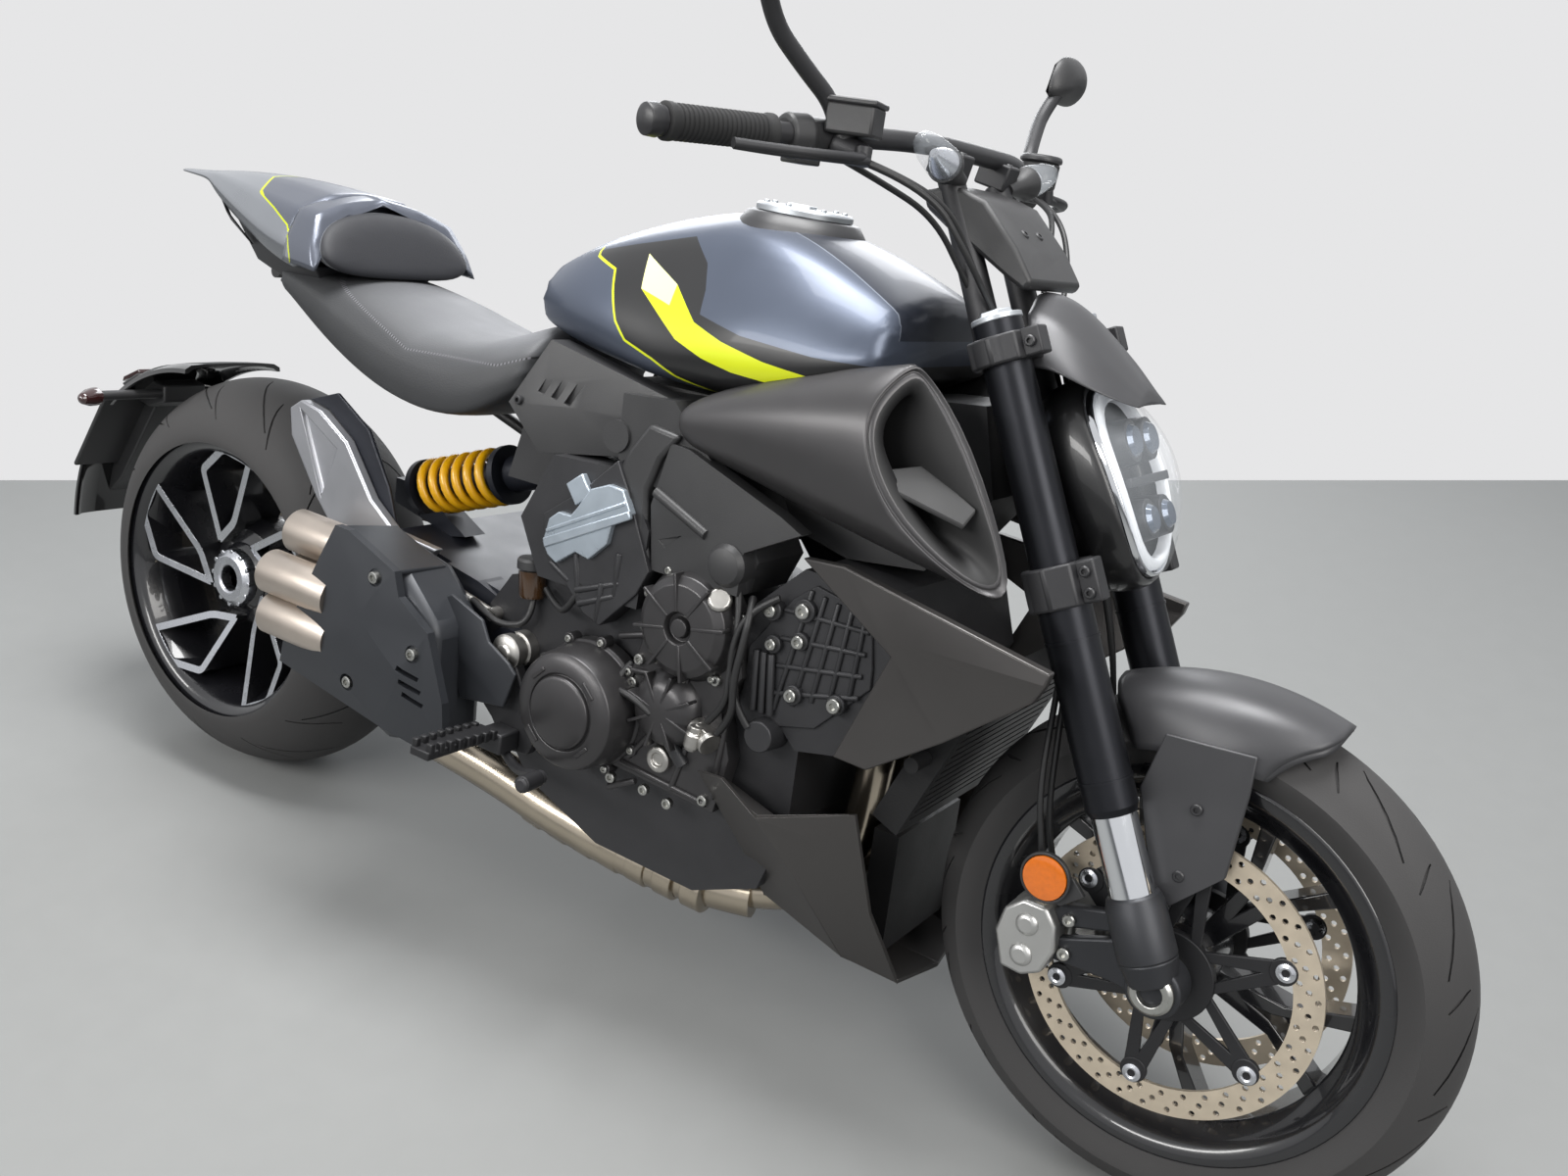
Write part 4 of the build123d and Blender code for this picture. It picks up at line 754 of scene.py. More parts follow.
TANK_HALVES = [
    (600, [(0, 838), (44, 840), (66, 852), (74, 874), (66, 898), (44, 914), (20, 921), (0, 923)]),
    (660, [(0, 830), (80, 832), (102, 848), (109, 874), (100, 906), (72, 938), (34, 956), (0, 962)]),
    (720, [(0, 822), (98, 823), (123, 842), (129, 876), (116, 916), (80, 958), (36, 980), (0, 986)]),
    (780, [(0, 816), (108, 816), (137, 838), (141, 874), (122, 918), (84, 972), (40, 1000), (0, 1006)]),
    (840, [(0, 810), (118, 810), (147, 830), (147, 864), (126, 916), (90, 984), (46, 1014), (0, 1022)]),
    (900, [(0, 808), (124, 808), (153, 830), (157, 866), (136, 924), (92, 1000), (56, 1024), (0, 1032)]),
    (960, [(0, 808), (130, 809), (163, 834), (167, 872), (150, 926), (104, 1000), (66, 1020), (0, 1030)]),
    (1020, [(0, 812), (134, 813), (168, 840), (171, 878), (154, 934), (112, 990), (74, 1008), (0, 1018)]),
    (1080, [(0, 828), (138, 829), (171, 854), (173, 884), (152, 940), (118, 972), (82, 990), (0, 1000)]),
    (1130, [(0, 850), (134, 850), (167, 869), (170, 890), (150, 930), (122, 956), (88, 968), (0, 978)]),
    (1170, [(0, 870), (126, 870), (152, 882), (156, 896), (142, 928), (112, 944), (80, 950), (0, 956)]),
]
tank = bmesh.new()
lofted(tank, halves(TANK_HALVES), creased=both_rows((5,), 8), crease=0.35)
put("fuel_tank", tank, "chassis", tank_paint, ["fuel_tank"], smooth=2)

# The filler lid is a bright turned ring with bolts round it, a dished middle and a lock flap. It
# sits in a black collar on the tank's crown.
CAP = Vector((948, 0, 1030))
CAP_TURN = Matrix.Translation(CAP) @ tilt(2) @ Matrix.Translation(-CAP)
cap_black = plain("satin_black", paint(38, 38, 40), roughness=0.42, drift=0.12, grain=0.12, grain_size=0.001)
cap_silver = plain("cap_silver", paint(176, 180, 184), metallic=0.8, roughness=0.42, drift=0.05)


def on_crown(shape, profile):
    """A profile of height and radius, turned about the filler's upright line."""
    ring = bmesh.new()
    verts = [ring.verts.new((CAP.x + r, 0, CAP.z + h)) for h, r in profile]
    edges = [ring.edges.new(pair) for pair in zip(verts, verts[1:])]
    bmesh.ops.spin(ring, geom=verts + edges, cent=CAP, axis=(0, 0, 1), angle=2 * pi, steps=72, use_merge=True)
    join(shape, ring)


lid = bmesh.new()
on_crown(lid, [(0, 60), (6, 60), (9, 57), (9, 42), (5, 39), (0, 39)])
on_crown(lid, [(0, 40), (6, 40), (7, 36), (9, 20), (9, 0)])
for n in range(7):
    a, b = polar(49, 20 + n * 360 / 7)
    bar(lid, (CAP.x + a, b, CAP.z + 4), (CAP.x + a, b, CAP.z + 12), 3.6, sides=12)
block(lid, (CAP.x - 6, 0, CAP.z + 10), (34, 17, 5))
bmesh.ops.transform(lid, matrix=CAP_TURN, verts=lid.verts)
put("fuel_cap", lid, "fuel_cap", cap_silver, ["fuel_cap"], bevel=0.8)
collar = bmesh.new()
on_crown(collar, [(-36, 92), (-14, 78), (-3, 70), (-1, 66), (-1, 30)])
bmesh.ops.transform(collar, matrix=CAP_TURN, verts=collar.verts)
put("filler_collar", collar, "chassis", cap_black)


# The seat is deep moulded foam under a grained cover, with a painted highlight that lightens its top above
# the seam. A stitched seam runs low along each side, and its nose laps the back of the tank.
SEAT_DARK = paint(50, 51, 53)
# The lighter seat colour is a painted highlight for the top of the seat.
SEAT_TOP_HIGHLIGHT = paint(98, 99, 102)
SEAM = [(112, 858), (221, 846), (433, 777), (595, 784), (650, 806)]
SEAM_HALF = 1.4
STITCH = 5
STITCH_SHARE = 0.6
TOP_LIGHT_FROM, TOP_LIGHT_TO = -6.0, 34.0
seat_cover, shader, tone = finish("seat_cover", SEAT_DARK, roughness=0.62, drift=0.14, patch=0.05, grain=0.5,
                                  grain_size=0.0022)
x, y, z = where(shader)
above = z - height_along(x, SEAM)
# Painted highlight: the seat turns lighter with height above its seam, as the overhead light falls on its
# top.
top_light = above.node("MapRange", {"clamp": True}, {0: above, 1: TOP_LIGHT_FROM, 2: TOP_LIGHT_TO, 3: 0.0, 4: 0.8})
colour = top_light.mix(tone, SEAT_TOP_HIGHLIGHT)
seam_line = above.math("ABSOLUTE", above) < SEAM_HALF
stitch = x / STITCH
thread = seam_line * (stitch.math("FRACT", stitch) < STITCH_SHARE)
colour = seam_line.mix(colour, paint(18, 18, 19))
colour = thread.mix(colour, paint(92, 92, 96))
colour.feed(shader, "Base Color")
SEAT_HALVES = [
    (114, [(0, 806), (70, 807), (96, 812), (108, 824), (104, 836), (84, 846), (40, 850), (0, 851)]),
    (160, [(0, 790), (80, 790), (110, 798), (122, 814), (118, 834), (98, 846), (48, 852), (0, 853)]),
    (220, [(0, 764), (90, 762), (118, 768), (131, 790), (128, 820), (112, 842), (58, 850), (0, 852)]),
    (290, [(0, 740), (100, 736), (128, 740), (140, 764), (138, 798), (120, 828), (62, 842), (0, 846)]),
    (360, [(0, 720), (112, 714), (140, 720), (150, 746), (146, 780), (126, 812), (70, 830), (0, 834)]),
    (430, [(0, 706), (124, 700), (148, 706), (156, 734), (152, 766), (132, 794), (74, 806), (0, 810)]),
    (500, [(0, 700), (130, 697), (150, 702), (158, 730), (153, 760), (132, 788), (74, 798), (0, 802)]),
    (556, [(0, 705), (128, 704), (148, 712), (155, 738), (148, 770), (124, 798), (70, 814), (0, 822)]),
    (600, [(0, 730), (118, 730), (138, 740), (144, 762), (134, 792), (106, 818), (60, 834), (0, 842)]),
    (640, [(0, 762), (104, 762), (124, 768), (132, 782), (122, 806), (94, 828), (52, 846), (0, 856)]),
]
seat = bmesh.new()
lofted(seat, halves(SEAT_HALVES), creased=both_rows((2, 4), 8), crease=0.45)
seat = put("seat", seat, "chassis", seat_cover, ["seat"], smooth=2)


# The tail cover is a wedge in satin light grey that ends in a thin flat fin. A thin lime line runs
# down each side, and its front edge is a rim round the backrest pad.
TAIL_GREY = paint(134, 137, 142)
TAIL_FRONT = paint(94, 98, 108)
TAIL_LINE = [(-12, 984), (7, 975), (50, 945), (110, 926), (158, 907), (175, 889), (187, 868), (194, 850)]
LINE_REAR = -10.0
LINE_FRONT = 193.0
LINE_ALONG = 2.2
LINE_DOWN = 2.0
tail_paint, shader, tone = finish("tail_paint", TAIL_GREY, metallic=0.6, roughness=0.3, coat=0.15, drift=0.06,
                                  patch=0.1, grain=0.05, grain_size=0.0007)
x, y, z = where(shader)
aft = z < height_along(x, TAIL_LINE)
almost = (z - LINE_DOWN) < height_along(x - LINE_ALONG, TAIL_LINE)
line = (almost - aft) * (x > LINE_REAR) * (x < LINE_FRONT)
colour = aft.mix(TAIL_FRONT, tone)
colour = line.mix(colour, LIME)
colour.feed(shader, "Base Color")
TAIL_HALVES = [
    (-238, [(0, 949), (14, 949), (26, 950), (28, 952), (24, 954), (12, 955), (0, 955)]),
    (-180, [(0, 947), (22, 947), (40, 948), (43, 951), (38, 955), (20, 958), (0, 959)]),
    (-128, [(0, 945), (30, 945), (56, 946), (60, 950), (53, 957), (28, 962), (0, 964)]),
    (-108, [(0, 920), (38, 921), (64, 934), (68, 945), (59, 958), (30, 965), (0, 967)]),
    (-40, [(0, 892), (52, 892), (85, 910), (94, 928), (80, 954), (42, 968), (0, 972)]),
    (40, [(0, 866), (72, 866), (105, 884), (116, 906), (100, 944), (54, 968), (0, 974)]),
    (120, [(0, 852), (88, 850), (124, 860), (136, 886), (116, 936), (62, 962), (0, 970)]),
    (180, [(0, 850), (98, 846), (134, 850), (144, 878), (126, 930), (68, 956), (0, 965)]),
]
tail = bmesh.new()
lofted(tail, halves(TAIL_HALVES), creased=both_rows((2, 3, 4, 5), 7), crease=0.6)
HOOD = [(0, 954), (64, 948), (122, 928), (146, 888), (150, 862), (157, 858), (154, 890), (130, 934),
        (70, 956), (0, 963)]
for side in (-1, 1):
    rings = []
    for x, spread, lean, drop in ((170, 0.94, 0, 0), (194, 0.98, 0.3, -2), (212, 1.0, 0.46, -5)):
        rings.append([Vector((x + lean * (950 - z), side * y * spread, z + drop)) for y, z in HOOD])
    lofted(tail, rings, creased=(4, 5, 7), crease=0.6)
put("tail_cover", tail, "chassis", tail_paint, ["tail_cover"], smooth=2)
TRAY_HALVES = [
    (-96, [(0, 922), (46, 923), (50, 934), (0, 936)]),
    (30, [(0, 842), (80, 843), (92, 884), (0, 886)]),
    (130, [(0, 822), (100, 824), (114, 862), (0, 864)]),
    (204, [(0, 836), (104, 838), (118, 856), (0, 858)]),
]
tray = bmesh.new()
lofted(tray, halves(TRAY_HALVES))
put("tail_tray", tray, "chassis", cap_black, bevel=2.0)

# The backrest pad is a wide black cushion with rounded corners and a lighter edge. It is foam under
# a grained cover, and is set in the tail's rim.
PAD_LEAN = 0.5
PAD_FACE = 684.0
PAD_TOP = 935
pad_cover, shader, tone = finish("pad_cover", paint(26, 27, 32), roughness=0.6, drift=0.15, patch=0.04,
                                 grain=0.5, grain_size=0.0018)
x, y, z = where(shader)
pad_edge = (x + z * PAD_LEAN) < PAD_FACE
pad_edge.mix(tone, paint(104, 106, 110)).feed(shader, "Base Color")
pad = bmesh.new()
PAD_HALVES = [
    (180, [(0, 860), (100, 858), (124, 864), (134, 878), (120, 912), (70, 930), (0, 936)]),
    (216, [(0, 848), (100, 848), (136, 862), (146, 880), (126, 916), (70, 938), (0, 944)]),
    (226, [(0, 850), (96, 850), (132, 864), (140, 880), (120, 913), (66, 933), (0, 939)]),
    (232, [(0, 862), (80, 862), (112, 872), (118, 882), (98, 902), (54, 916), (0, 920)]),
]
lofted(pad, halves(PAD_HALVES), crease=0.2)
for v in pad.verts:
    v.co.x += PAD_LEAN * (PAD_TOP - v.co.z)
pad = put("backrest_pad", pad, "chassis", pad_cover, ["tail_pad"], smooth=2)


# The air intakes flare forward from under the tank to a slanted mouth. Each mouth holds a separate
# frame with a seam round it, a deep dark duct and one thin vane.
INTAKE_RINGS = [[(926, -122, 806), (930, -150, 809), (926, -172, 800), (924, -180, 786), (926, -181, 772),
                 (930, -176, 758), (936, -158, 746), (938, -134, 744), (936, -120, 760), (930, -116, 785)],
                [(1010, -134, 842), (1012, -160, 842), (1006, -184, 828), (1003, -196, 806),
                 (1004, -197, 782), (1008, -188, 756), (1014, -164, 734), (1018, -138, 729),
                 (1016, -124, 756), (1012, -120, 800)],
                [(1110, -144, 876), (1112, -166, 874), (1102, -194, 852), (1098, -209, 820),
                 (1102, -211, 784), (1116, -203, 746), (1142, -176, 710), (1160, -148, 702),
                 (1150, -126, 740), (1128, -122, 812)],
                [(1222, -154, 896), (1211, -164, 901), (1194, -194, 872), (1188, -215, 836),
                 (1204, -217, 786), (1246, -211, 732), (1320, -186, 686), (1358, -168, 675),
                 (1372, -162, 696), (1288, -156, 838)], ]
MOUTH_SEAM = 7
shroud_paint = plain("shroud_paint", paint(70, 69, 70), metallic=0.5, roughness=0.36, drift=0.1, patch=0.1,
                     grain=0.08, grain_size=0.0008)
duct_black = plain("duct_black", paint(14, 14, 15), roughness=0.6)
moulded = plain("moulded_black", paint(42, 42, 43), roughness=0.46, drift=0.14, grain=0.35, grain_size=0.0013)


def mirrored(shape):
    """The same again on the machine's other side."""
    parts = list(shape.verts) + list(shape.edges) + list(shape.faces)
    made = bmesh.ops.duplicate(shape, geom=parts)["geom"]
    for part in made:
        if isinstance(part, bmesh.types.BMVert):
            part.co.y = -part.co.y


def shrunk(ring, inset, shift):
    """A ring drawn in towards its middle and moved."""
    points = [Vector(p) for p in ring]
    middle = sum(points, Vector()) / len(points)
    return [p + (middle - p).normalized() * inset + Vector(shift) for p in points]


def panel(shape, points, faces, depth):
    """A folded sheet: its outer faces by the numbers of their corners, thickened along depth."""
    verts = [shape.verts.new(p) for p in points]
    skin = [shape.faces.new([verts[n] for n in face]) for face in faces]
    made = bmesh.ops.extrude_face_region(shape, geom=skin)["geom"]
    back = [part for part in made if isinstance(part, bmesh.types.BMVert)]
    bmesh.ops.translate(shape, vec=depth, verts=back)


intake = bmesh.new()
mouth = INTAKE_RINGS[-1]
lofted(intake, INTAKE_RINGS, creased=(1, 5, 7), ends=False, crease=0.4)
MOUTH_STEPS = [(0, (0, 0, 0), 0), (2, (3, 0, -1), 0), (MOUTH_SEAM, (-6, 3, 0), 0),
               (MOUTH_SEAM + 3, (2, -1, 0), 0), (36, (-10, 8, 0), 1), (42, (-30, 14, 4), 1),
               (58, (-130, 36, 20), 1)]
for (near, near_shift, _), (far, far_shift, look) in zip(MOUTH_STEPS, MOUTH_STEPS[1:]):
    lofted(intake, [shrunk(mouth, near, near_shift), shrunk(mouth, far, far_shift)], look=look, ends=False)
intake.faces.new([intake.verts.new(p) for p in shrunk(mouth, far, far_shift)]).material_index = 1
lofted(intake, [INTAKE_RINGS[0], shrunk(INTAKE_RINGS[0], 14, (-4, 0, 0))], ends=False)
bmesh.ops.remove_doubles(intake, verts=intake.verts, dist=0.01)
layer = intake.edges.layers.float.get("crease_edge")
lip = [Vector(p) for p in mouth]
for edge in intake.edges:
    if all(min((v.co - p).length for p in lip) < 0.5 for v in edge.verts):
        edge[layer] = 0.8
mirrored(intake)
put("air_intakes", intake, "chassis", [shroud_paint, duct_black], ["air_intakes"],
    smooth=2)
vanes = bmesh.new()
panel(vanes, [(1192, -208, 776), (1308, -178, 742), (1314, -166, 760), (1240, -150, 790)], [(0, 1, 2, 3)],
      (0, 0, 5))
mirrored(vanes)
put("intake_vanes", vanes, "chassis", duct_black, bevel=1.5)


# The side covers lie between seat, tank and frame: a dark plate with three slanted louvres, over a
# frame plate with a recessed bolt.
frame_black = plain("frame_black", paint(50, 50, 51), roughness=0.44, metallic=0.2, drift=0.12, grain=0.4,
                    grain_size=0.0015)
bolt_steel = plain("bolt_steel", paint(172, 172, 168), metallic=1.0, roughness=0.3, drift=0.12, patch=0.01)
cover = bmesh.new()
panel(cover, [(642, -158, 746), (688, -140, 834), (812, -146, 812), (904, -152, 796), (900, -152, 772),
              (842, -153, 716), (700, -158, 692), (760, -160, 760)],
      [(0, 1, 2, 7), (2, 3, 4, 7), (4, 5, 7), (5, 6, 7), (6, 0, 7)], (0, 34, 0))
slots = bmesh.new()
for n in range(3):
    x = 686 + 24 * n
    slab(slots, [(x, 768 - 3 * n), (x + 11, 766 - 3 * n), (x + 32, 812 - 3 * n), (x + 21, 814 - 3 * n)], -190,
         -150)
cover = cut(cover, slots)
well = bmesh.new()
bar(well, (833, -200, 742), (833, -148, 742), 17)
cover = cut(cover, well)
mirrored(cover)
put("side_covers", cover, "chassis", moulded, ["side_covers"], bevel=2.0)

# A dark strip under the tail on each side holds its lamps. It is moulded, and folded along its
# length.
strip = bmesh.new()
panel(strip, [(-112, -58, 944), (-40, -88, 906), (30, -104, 876), (34, -96, 866), (-44, -76, 893),
              (-116, -46, 930)], [(0, 1, 4, 5), (1, 2, 3, 4)], (0, 6, -2))
mirrored(strip)
put("tail_lamp_strips", strip, "chassis", cap_black, bevel=1.2)


def socket_bolt(shape, centre, outward, radius, height=6.0):
    """A cap screw: a bevelled round head with a hexagon socket."""
    centre, outward = Vector(centre), Vector(outward).normalized()
    place = Matrix.Translation(centre) @ outward.to_track_quat("Z", "Y").to_matrix().to_4x4()
    rings = [(18, radius, -2), (18, radius, height - 1.2), (18, radius - 1.2, height),
             (6, radius * 0.52, height), (6, radius * 0.52, height * 0.35)]
    rows = [[shape.verts.new(place @ Vector((*polar(reach, 360 / sides * n), lift))) for n in range(sides)]
            for sides, reach, lift in rings]
    for near, far in zip(rows, rows[1:]):
        count = len(near)
        if len(far) == count:
            for n in range(count):
                shape.faces.new((near[n], near[(n + 1) % count], far[(n + 1) % count], far[n]))
        else:
            for n in range(6):
                three = [near[(3 * n + k) % 18] for k in range(4)]
                shape.faces.new(three + [far[(n + 1) % 6], far[n]])
    shape.faces.new(rows[-1])


bolts = bmesh.new()
socket_bolt(bolts, (833, -149, 742), (0, -1, 0), 11)
socket_bolt(bolts, (660, -157, 752), (0, -1, 0), 6)
mirrored(bolts)
put("frame_bolts", bolts, "chassis", cap_black)


# The shrouds beside the radiators are pointed wings in the same dark bronze grey as the belly pan,
# creased along their length. The pan is a narrow keel whose flanks lift into scoops.
wing_paint = plain("wing_paint", paint(72, 70, 69), metallic=0.55, roughness=0.34, drift=0.08, patch=0.12,
                   grain=0.06, grain_size=0.0008)
WING = [(1122, -178, 664), (1183, -192, 672), (1300, -214, 658), (1451, -231, 637), (1448, -231, 622),
        (1268, -216, 614), (1436, -224, 600), (1345, -216, 524), (1256, -202, 458), (1211, -199, 458),
        (1264, -206, 594)]
wing = bmesh.new()
panel(wing, WING, [(0, 1, 2, 5, 10), (2, 3, 4, 5), (5, 4, 6), (5, 6, 7, 10), (10, 7, 8, 9)], (0, 15, 0))
mirrored(wing)
put("radiator_shrouds", wing, "chassis", wing_paint, ["radiator_shrouds"], bevel=2.2,
    crease_angle=12)
PAN = [(1028, -188, 374), (1074, -204, 384), (1132, -212, 357), (1248, -192, 398), (1258, -170, 330),
       (1264, -142, 262), (1290, -84, 156), (1216, -100, 168), (1106, -118, 214), (1082, -160, 292),
       (1170, -176, 290), (1196, -196, 352)]
PAN_FACES = [(0, 1, 2, 10, 9), (2, 3, 11), (2, 11, 10), (3, 4, 11), (4, 5, 10, 11), (5, 6, 7, 10),
             (7, 8, 9, 10)]
pan = bmesh.new()
panel(pan, PAN, PAN_FACES, (0, 6, 0))
panel(pan, [(1040, -186, 376), (1132, -208, 360), (1240, -190, 396), (1232, -158, 380), (1132, -168, 348),
            (1050, -160, 366)], [(0, 1, 4, 5), (1, 2, 3, 4)], (0, 0, -6))
mirrored(pan)
panel(pan, [(1290, -84, 156), (1216, -100, 168), (1106, -118, 214), (1106, 118, 214), (1216, 100, 168),
            (1290, 84, 156), (1304, 0, 151), (1180, 0, 152), (1110, 0, 196)],
      [(0, 1, 7, 6), (1, 2, 8, 7), (8, 3, 4, 7), (7, 4, 5, 6)], (0, 0, 6))
put("belly_pan", pan, "chassis", wing_paint, ["belly_pan"], bevel=1.8, crease_angle=12)


# The fork is upside down: thick dark anodised tubes above, bright chrome stanchions below them and
# cast feet that clamp the hollow axle. Two forged clamps hold the tubes and the risers.
FORK_Y = 110
FORK_OFFSET = 30.85
AXLE_H = 318.7
anodised = plain("anodised_tube", paint(34, 35, 39), metallic=0.75, roughness=0.34, drift=0.08, patch=0.05)
chrome = plain("chrome", paint(214, 216, 219), metallic=1.0, roughness=0.09, drift=0.03, patch=0.03)
foot_grey = plain("foot_grey", paint(52, 53, 56), metallic=0.6, roughness=0.44, drift=0.1, grain=0.18,
                  grain_size=0.0015)
clamp_black = plain("clamp_black", paint(44, 44, 46), metallic=0.3, roughness=0.48, drift=0.1, grain=0.2,
                    grain_size=0.0012)
tubes, chromes, feet, caps = bmesh.new(), bmesh.new(), bmesh.new(), bmesh.new()
for side in (-1, 1):
    def leg(h, ahead=FORK_OFFSET, out=0.0):
        return on_fork(h, ahead, side * (FORK_Y + out))

    bar(tubes, leg(520), leg(736), 29, sides=40)
    bar(tubes, leg(512), leg(521), 26, 29, sides=40)
    bar(tubes, leg(736), leg(783), 30, sides=40)
    bar(tubes, leg(783), leg(1046), 26.5, sides=40)
    for h in (548, 700):
        bar(tubes, leg(h), leg(h + 3), 30, sides=40)
    bar(chromes, leg(405), leg(522), 25, sides=40)
    bar(caps, leg(1046), leg(1052), 27.5, sides=40)
    bar(caps, leg(1052), leg(1058), 20, 18, sides=6)
    bar(feet, leg(352), leg(412), 33, 32, sides=40)
    bar(feet, leg(412), leg(424), 32, 28, sides=40)
    bar(feet, leg(AXLE_H + 6), leg(354), 27, 33, sides=40)
    axle_y = side * 80, side * 122
    bar(feet, (WHEELBASE, axle_y[0], FRONT_R), (WHEELBASE, axle_y[1], FRONT_R), 31, sides=40)
    slab(feet, [(1584, 334), (1540, 330), (1474, 304), (1466, 290), (1474, 276), (1540, 278), (1588, 272)],
         side * 83, side * 97)
    slab(feet, [(1566, 378), (1542, 362), (1470, 344), (1462, 330), (1476, 318), (1536, 336), (1570, 330)],
         side * 83, side * 97)
put("fork_tubes", tubes, "steering", anodised, ["fork_tubes"], crease_angle=40)
put("fork_stanchions", chromes, "steering", chrome, ["fork_lowers"], crease_angle=40)
put("fork_feet", feet, "steering", foot_grey, bevel=3.0)
put("fork_caps", caps, "steering", cap_silver, bevel=1.0)

clamps = bmesh.new()
for h, thick, rear in ((737, 46, -34), (1000, 30, -34)):
    half = [(rear, 30), (-6, 62), (FORK_OFFSET - 38, FORK_Y - 14), (FORK_OFFSET - 30, FORK_Y + 26),
            (FORK_OFFSET, FORK_Y + 38), (FORK_OFFSET + 28, FORK_Y + 30), (FORK_OFFSET + 38, FORK_Y),
            (FORK_OFFSET + 30, FORK_Y - 34), (FORK_OFFSET + 22, 52)]
    ring = [(a, -w) for a, w in half] + [(a, w) for a, w in reversed(half)]
    rings = [[on_fork(h + t, a, w) for a, w in ring] for t in (0, thick)]
    lofted(clamps, rings)
    for side in (-1, 1):
        bar(clamps, on_fork(h, FORK_OFFSET, side * FORK_Y), on_fork(h + thick, FORK_OFFSET, side * FORK_Y),
            37)
        block(clamps, on_fork(h + thick / 2, FORK_OFFSET + 40, side * (FORK_Y + 8)), (22, 26, thick),
              tilt(RAKE_DEGREES).inverted())
bar(clamps, on_fork(770), on_fork(1000), 20)
for side in (-1, 1):
    bar(clamps, on_fork(1030, -4, side * 62), (1166, side * 62, 1096), 17, 15)
    block(clamps, (1164, side * 62, 1108), (40, 30, 30), tilt(12))
put("triple_clamps", clamps, "steering", clamp_black, ["triple_clamps"], bevel=2.6)
clamp_bolts = bmesh.new()
for h in (748, 771, 1015):
    for side in (-1, 1):
        socket_bolt(clamp_bolts, on_fork(h, FORK_OFFSET + 40, side * (FORK_Y + 21)), (0, side, 0), 6, 5)
for side in (-1, 1):
    for x in (1152, 1176):
        socket_bolt(clamp_bolts, (x, side * 62, 1123 - (x - 1152) * 0.2), (0.2, 0, 1), 5, 4)
put("clamp_bolts", clamp_bolts, "steering", cap_black)

axle = bmesh.new()
turned(axle, [(-124, 13), (-130, 14), (-130, 21), (-126, 25), (-118, 25), (118, 25), (126, 25), (130, 21),
              (130, 14), (124, 13)], FRONT_AXLE, steps=48, closed=True)
put("front_axle", axle, "steering", bolt_steel, ["front_axle"], bevel=0.8)
pinch = bmesh.new()
for side in (-1, 1):
    for x, z in ((1560, 303), (1574, 274)):
        socket_bolt(pinch, (x, side * 98, z), (0, side, 0), 6, 5)
    for x, z in ((1486, 290), (1484, 331)):
        socket_bolt(pinch, (x, side * 97, z), (0, side, 0), 7.5, 7)
put("fork_foot_bolts", pinch, "steering", bolt_steel)


# The front calipers are forged in one piece, in satin silver, with a round orange reflector on a
# bracket over each one and two hoses that rise behind the fork.
caliper_silver = plain("caliper_silver", paint(178, 178, 176), metallic=0.85, roughness=0.38, drift=0.07,
                       grain=0.12, grain_size=0.001)
calipers = bmesh.new()
for side in (-1, 1):
    for y_in, y_out in ((77, 112), (40, 59)):
        body_line = [(1420, 252), (1446, 250), (1468, 262), (1478, 292), (1474, 322), (1460, 340),
                     (1432, 340), (1412, 322), (1406, 292)]
        slab(calipers, body_line, side * y_in, side * y_out)
    slab(calipers, [(1404, 270), (1420, 252), (1426, 262), (1420, 292), (1424, 326), (1414, 326),
                    (1404, 300)], side * 56, side * 80)
    for z in (275, 313):
        bar(calipers, (1442, side * 108, z), (1442, side * 117, z), 15, 12, sides=32)
    bar(calipers, (1458, side * 104, 344), (1450, side * 104, 356), 6)
put("front_calipers", calipers, "steering", caliper_silver, ["front_calipers"], bevel=4.0)
reflector_orange = plain("reflector_orange", paint(206, 104, 14), roughness=0.2, coat=0.8, drift=0.2,
                         patch=0.006, grain=0.3, grain_size=0.003)
reflectors, mounts = bmesh.new(), bmesh.new()
for side in (-1, 1):
    spot = Vector((1455, 0, 380))
    turned(reflectors, [(side * 127, 0), (side * 128.5, 16), (side * 127, 25), (side * 120, 26)], spot,
           steps=40)
    turned(mounts, [(side * 119, 0), (side * 119, 29), (side * 126, 29), (side * 126, 26), (side * 120, 26)],
           spot, steps=40)
    slab(mounts, [(1460, 352), (1476, 352), (1500, 372), (1484, 388), (1456, 384)], side * 112, side * 119)
put("reflectors", reflectors, "steering", reflector_orange, crease_angle=50)
put("reflector_mounts", mounts, "steering", moulded, bevel=0.8)


def pipe(name, routes, radius, body, look, stands_for=(), steps=8):
    """Tubes along smooth curves by control points in the machine's millimetres, as one mesh."""
    whole = bmesh.new()
    for route in routes:
        line = bpy.data.curves.new(name, "CURVE")
        line.dimensions = "3D"
        line.bevel_depth = radius
        line.bevel_resolution = 5
        line.use_fill_caps = True
        line.resolution_u = steps
        spline = line.splines.new("NURBS")
        spline.points.add(len(route) - 1)
        for knot, place in zip(spline.points, route):
            knot.co = (*place, 1)
        spline.order_u = 3
        spline.use_endpoint_u = True
        holder = in_scene(name, line)
        drawn = holder.evaluated_get(bpy.context.evaluated_depsgraph_get())
        whole.from_mesh(bpy.data.meshes.new_from_object(drawn))
        bpy.data.objects.remove(holder)
    put(name, whole, body, look, stands_for, crease_angle=50)


def both_sides(*routes):
    """Each route on the right, then each on the left."""
    return [[(x, side * y, z) for x, y, z in route] for side in (-1, 1) for route in routes]


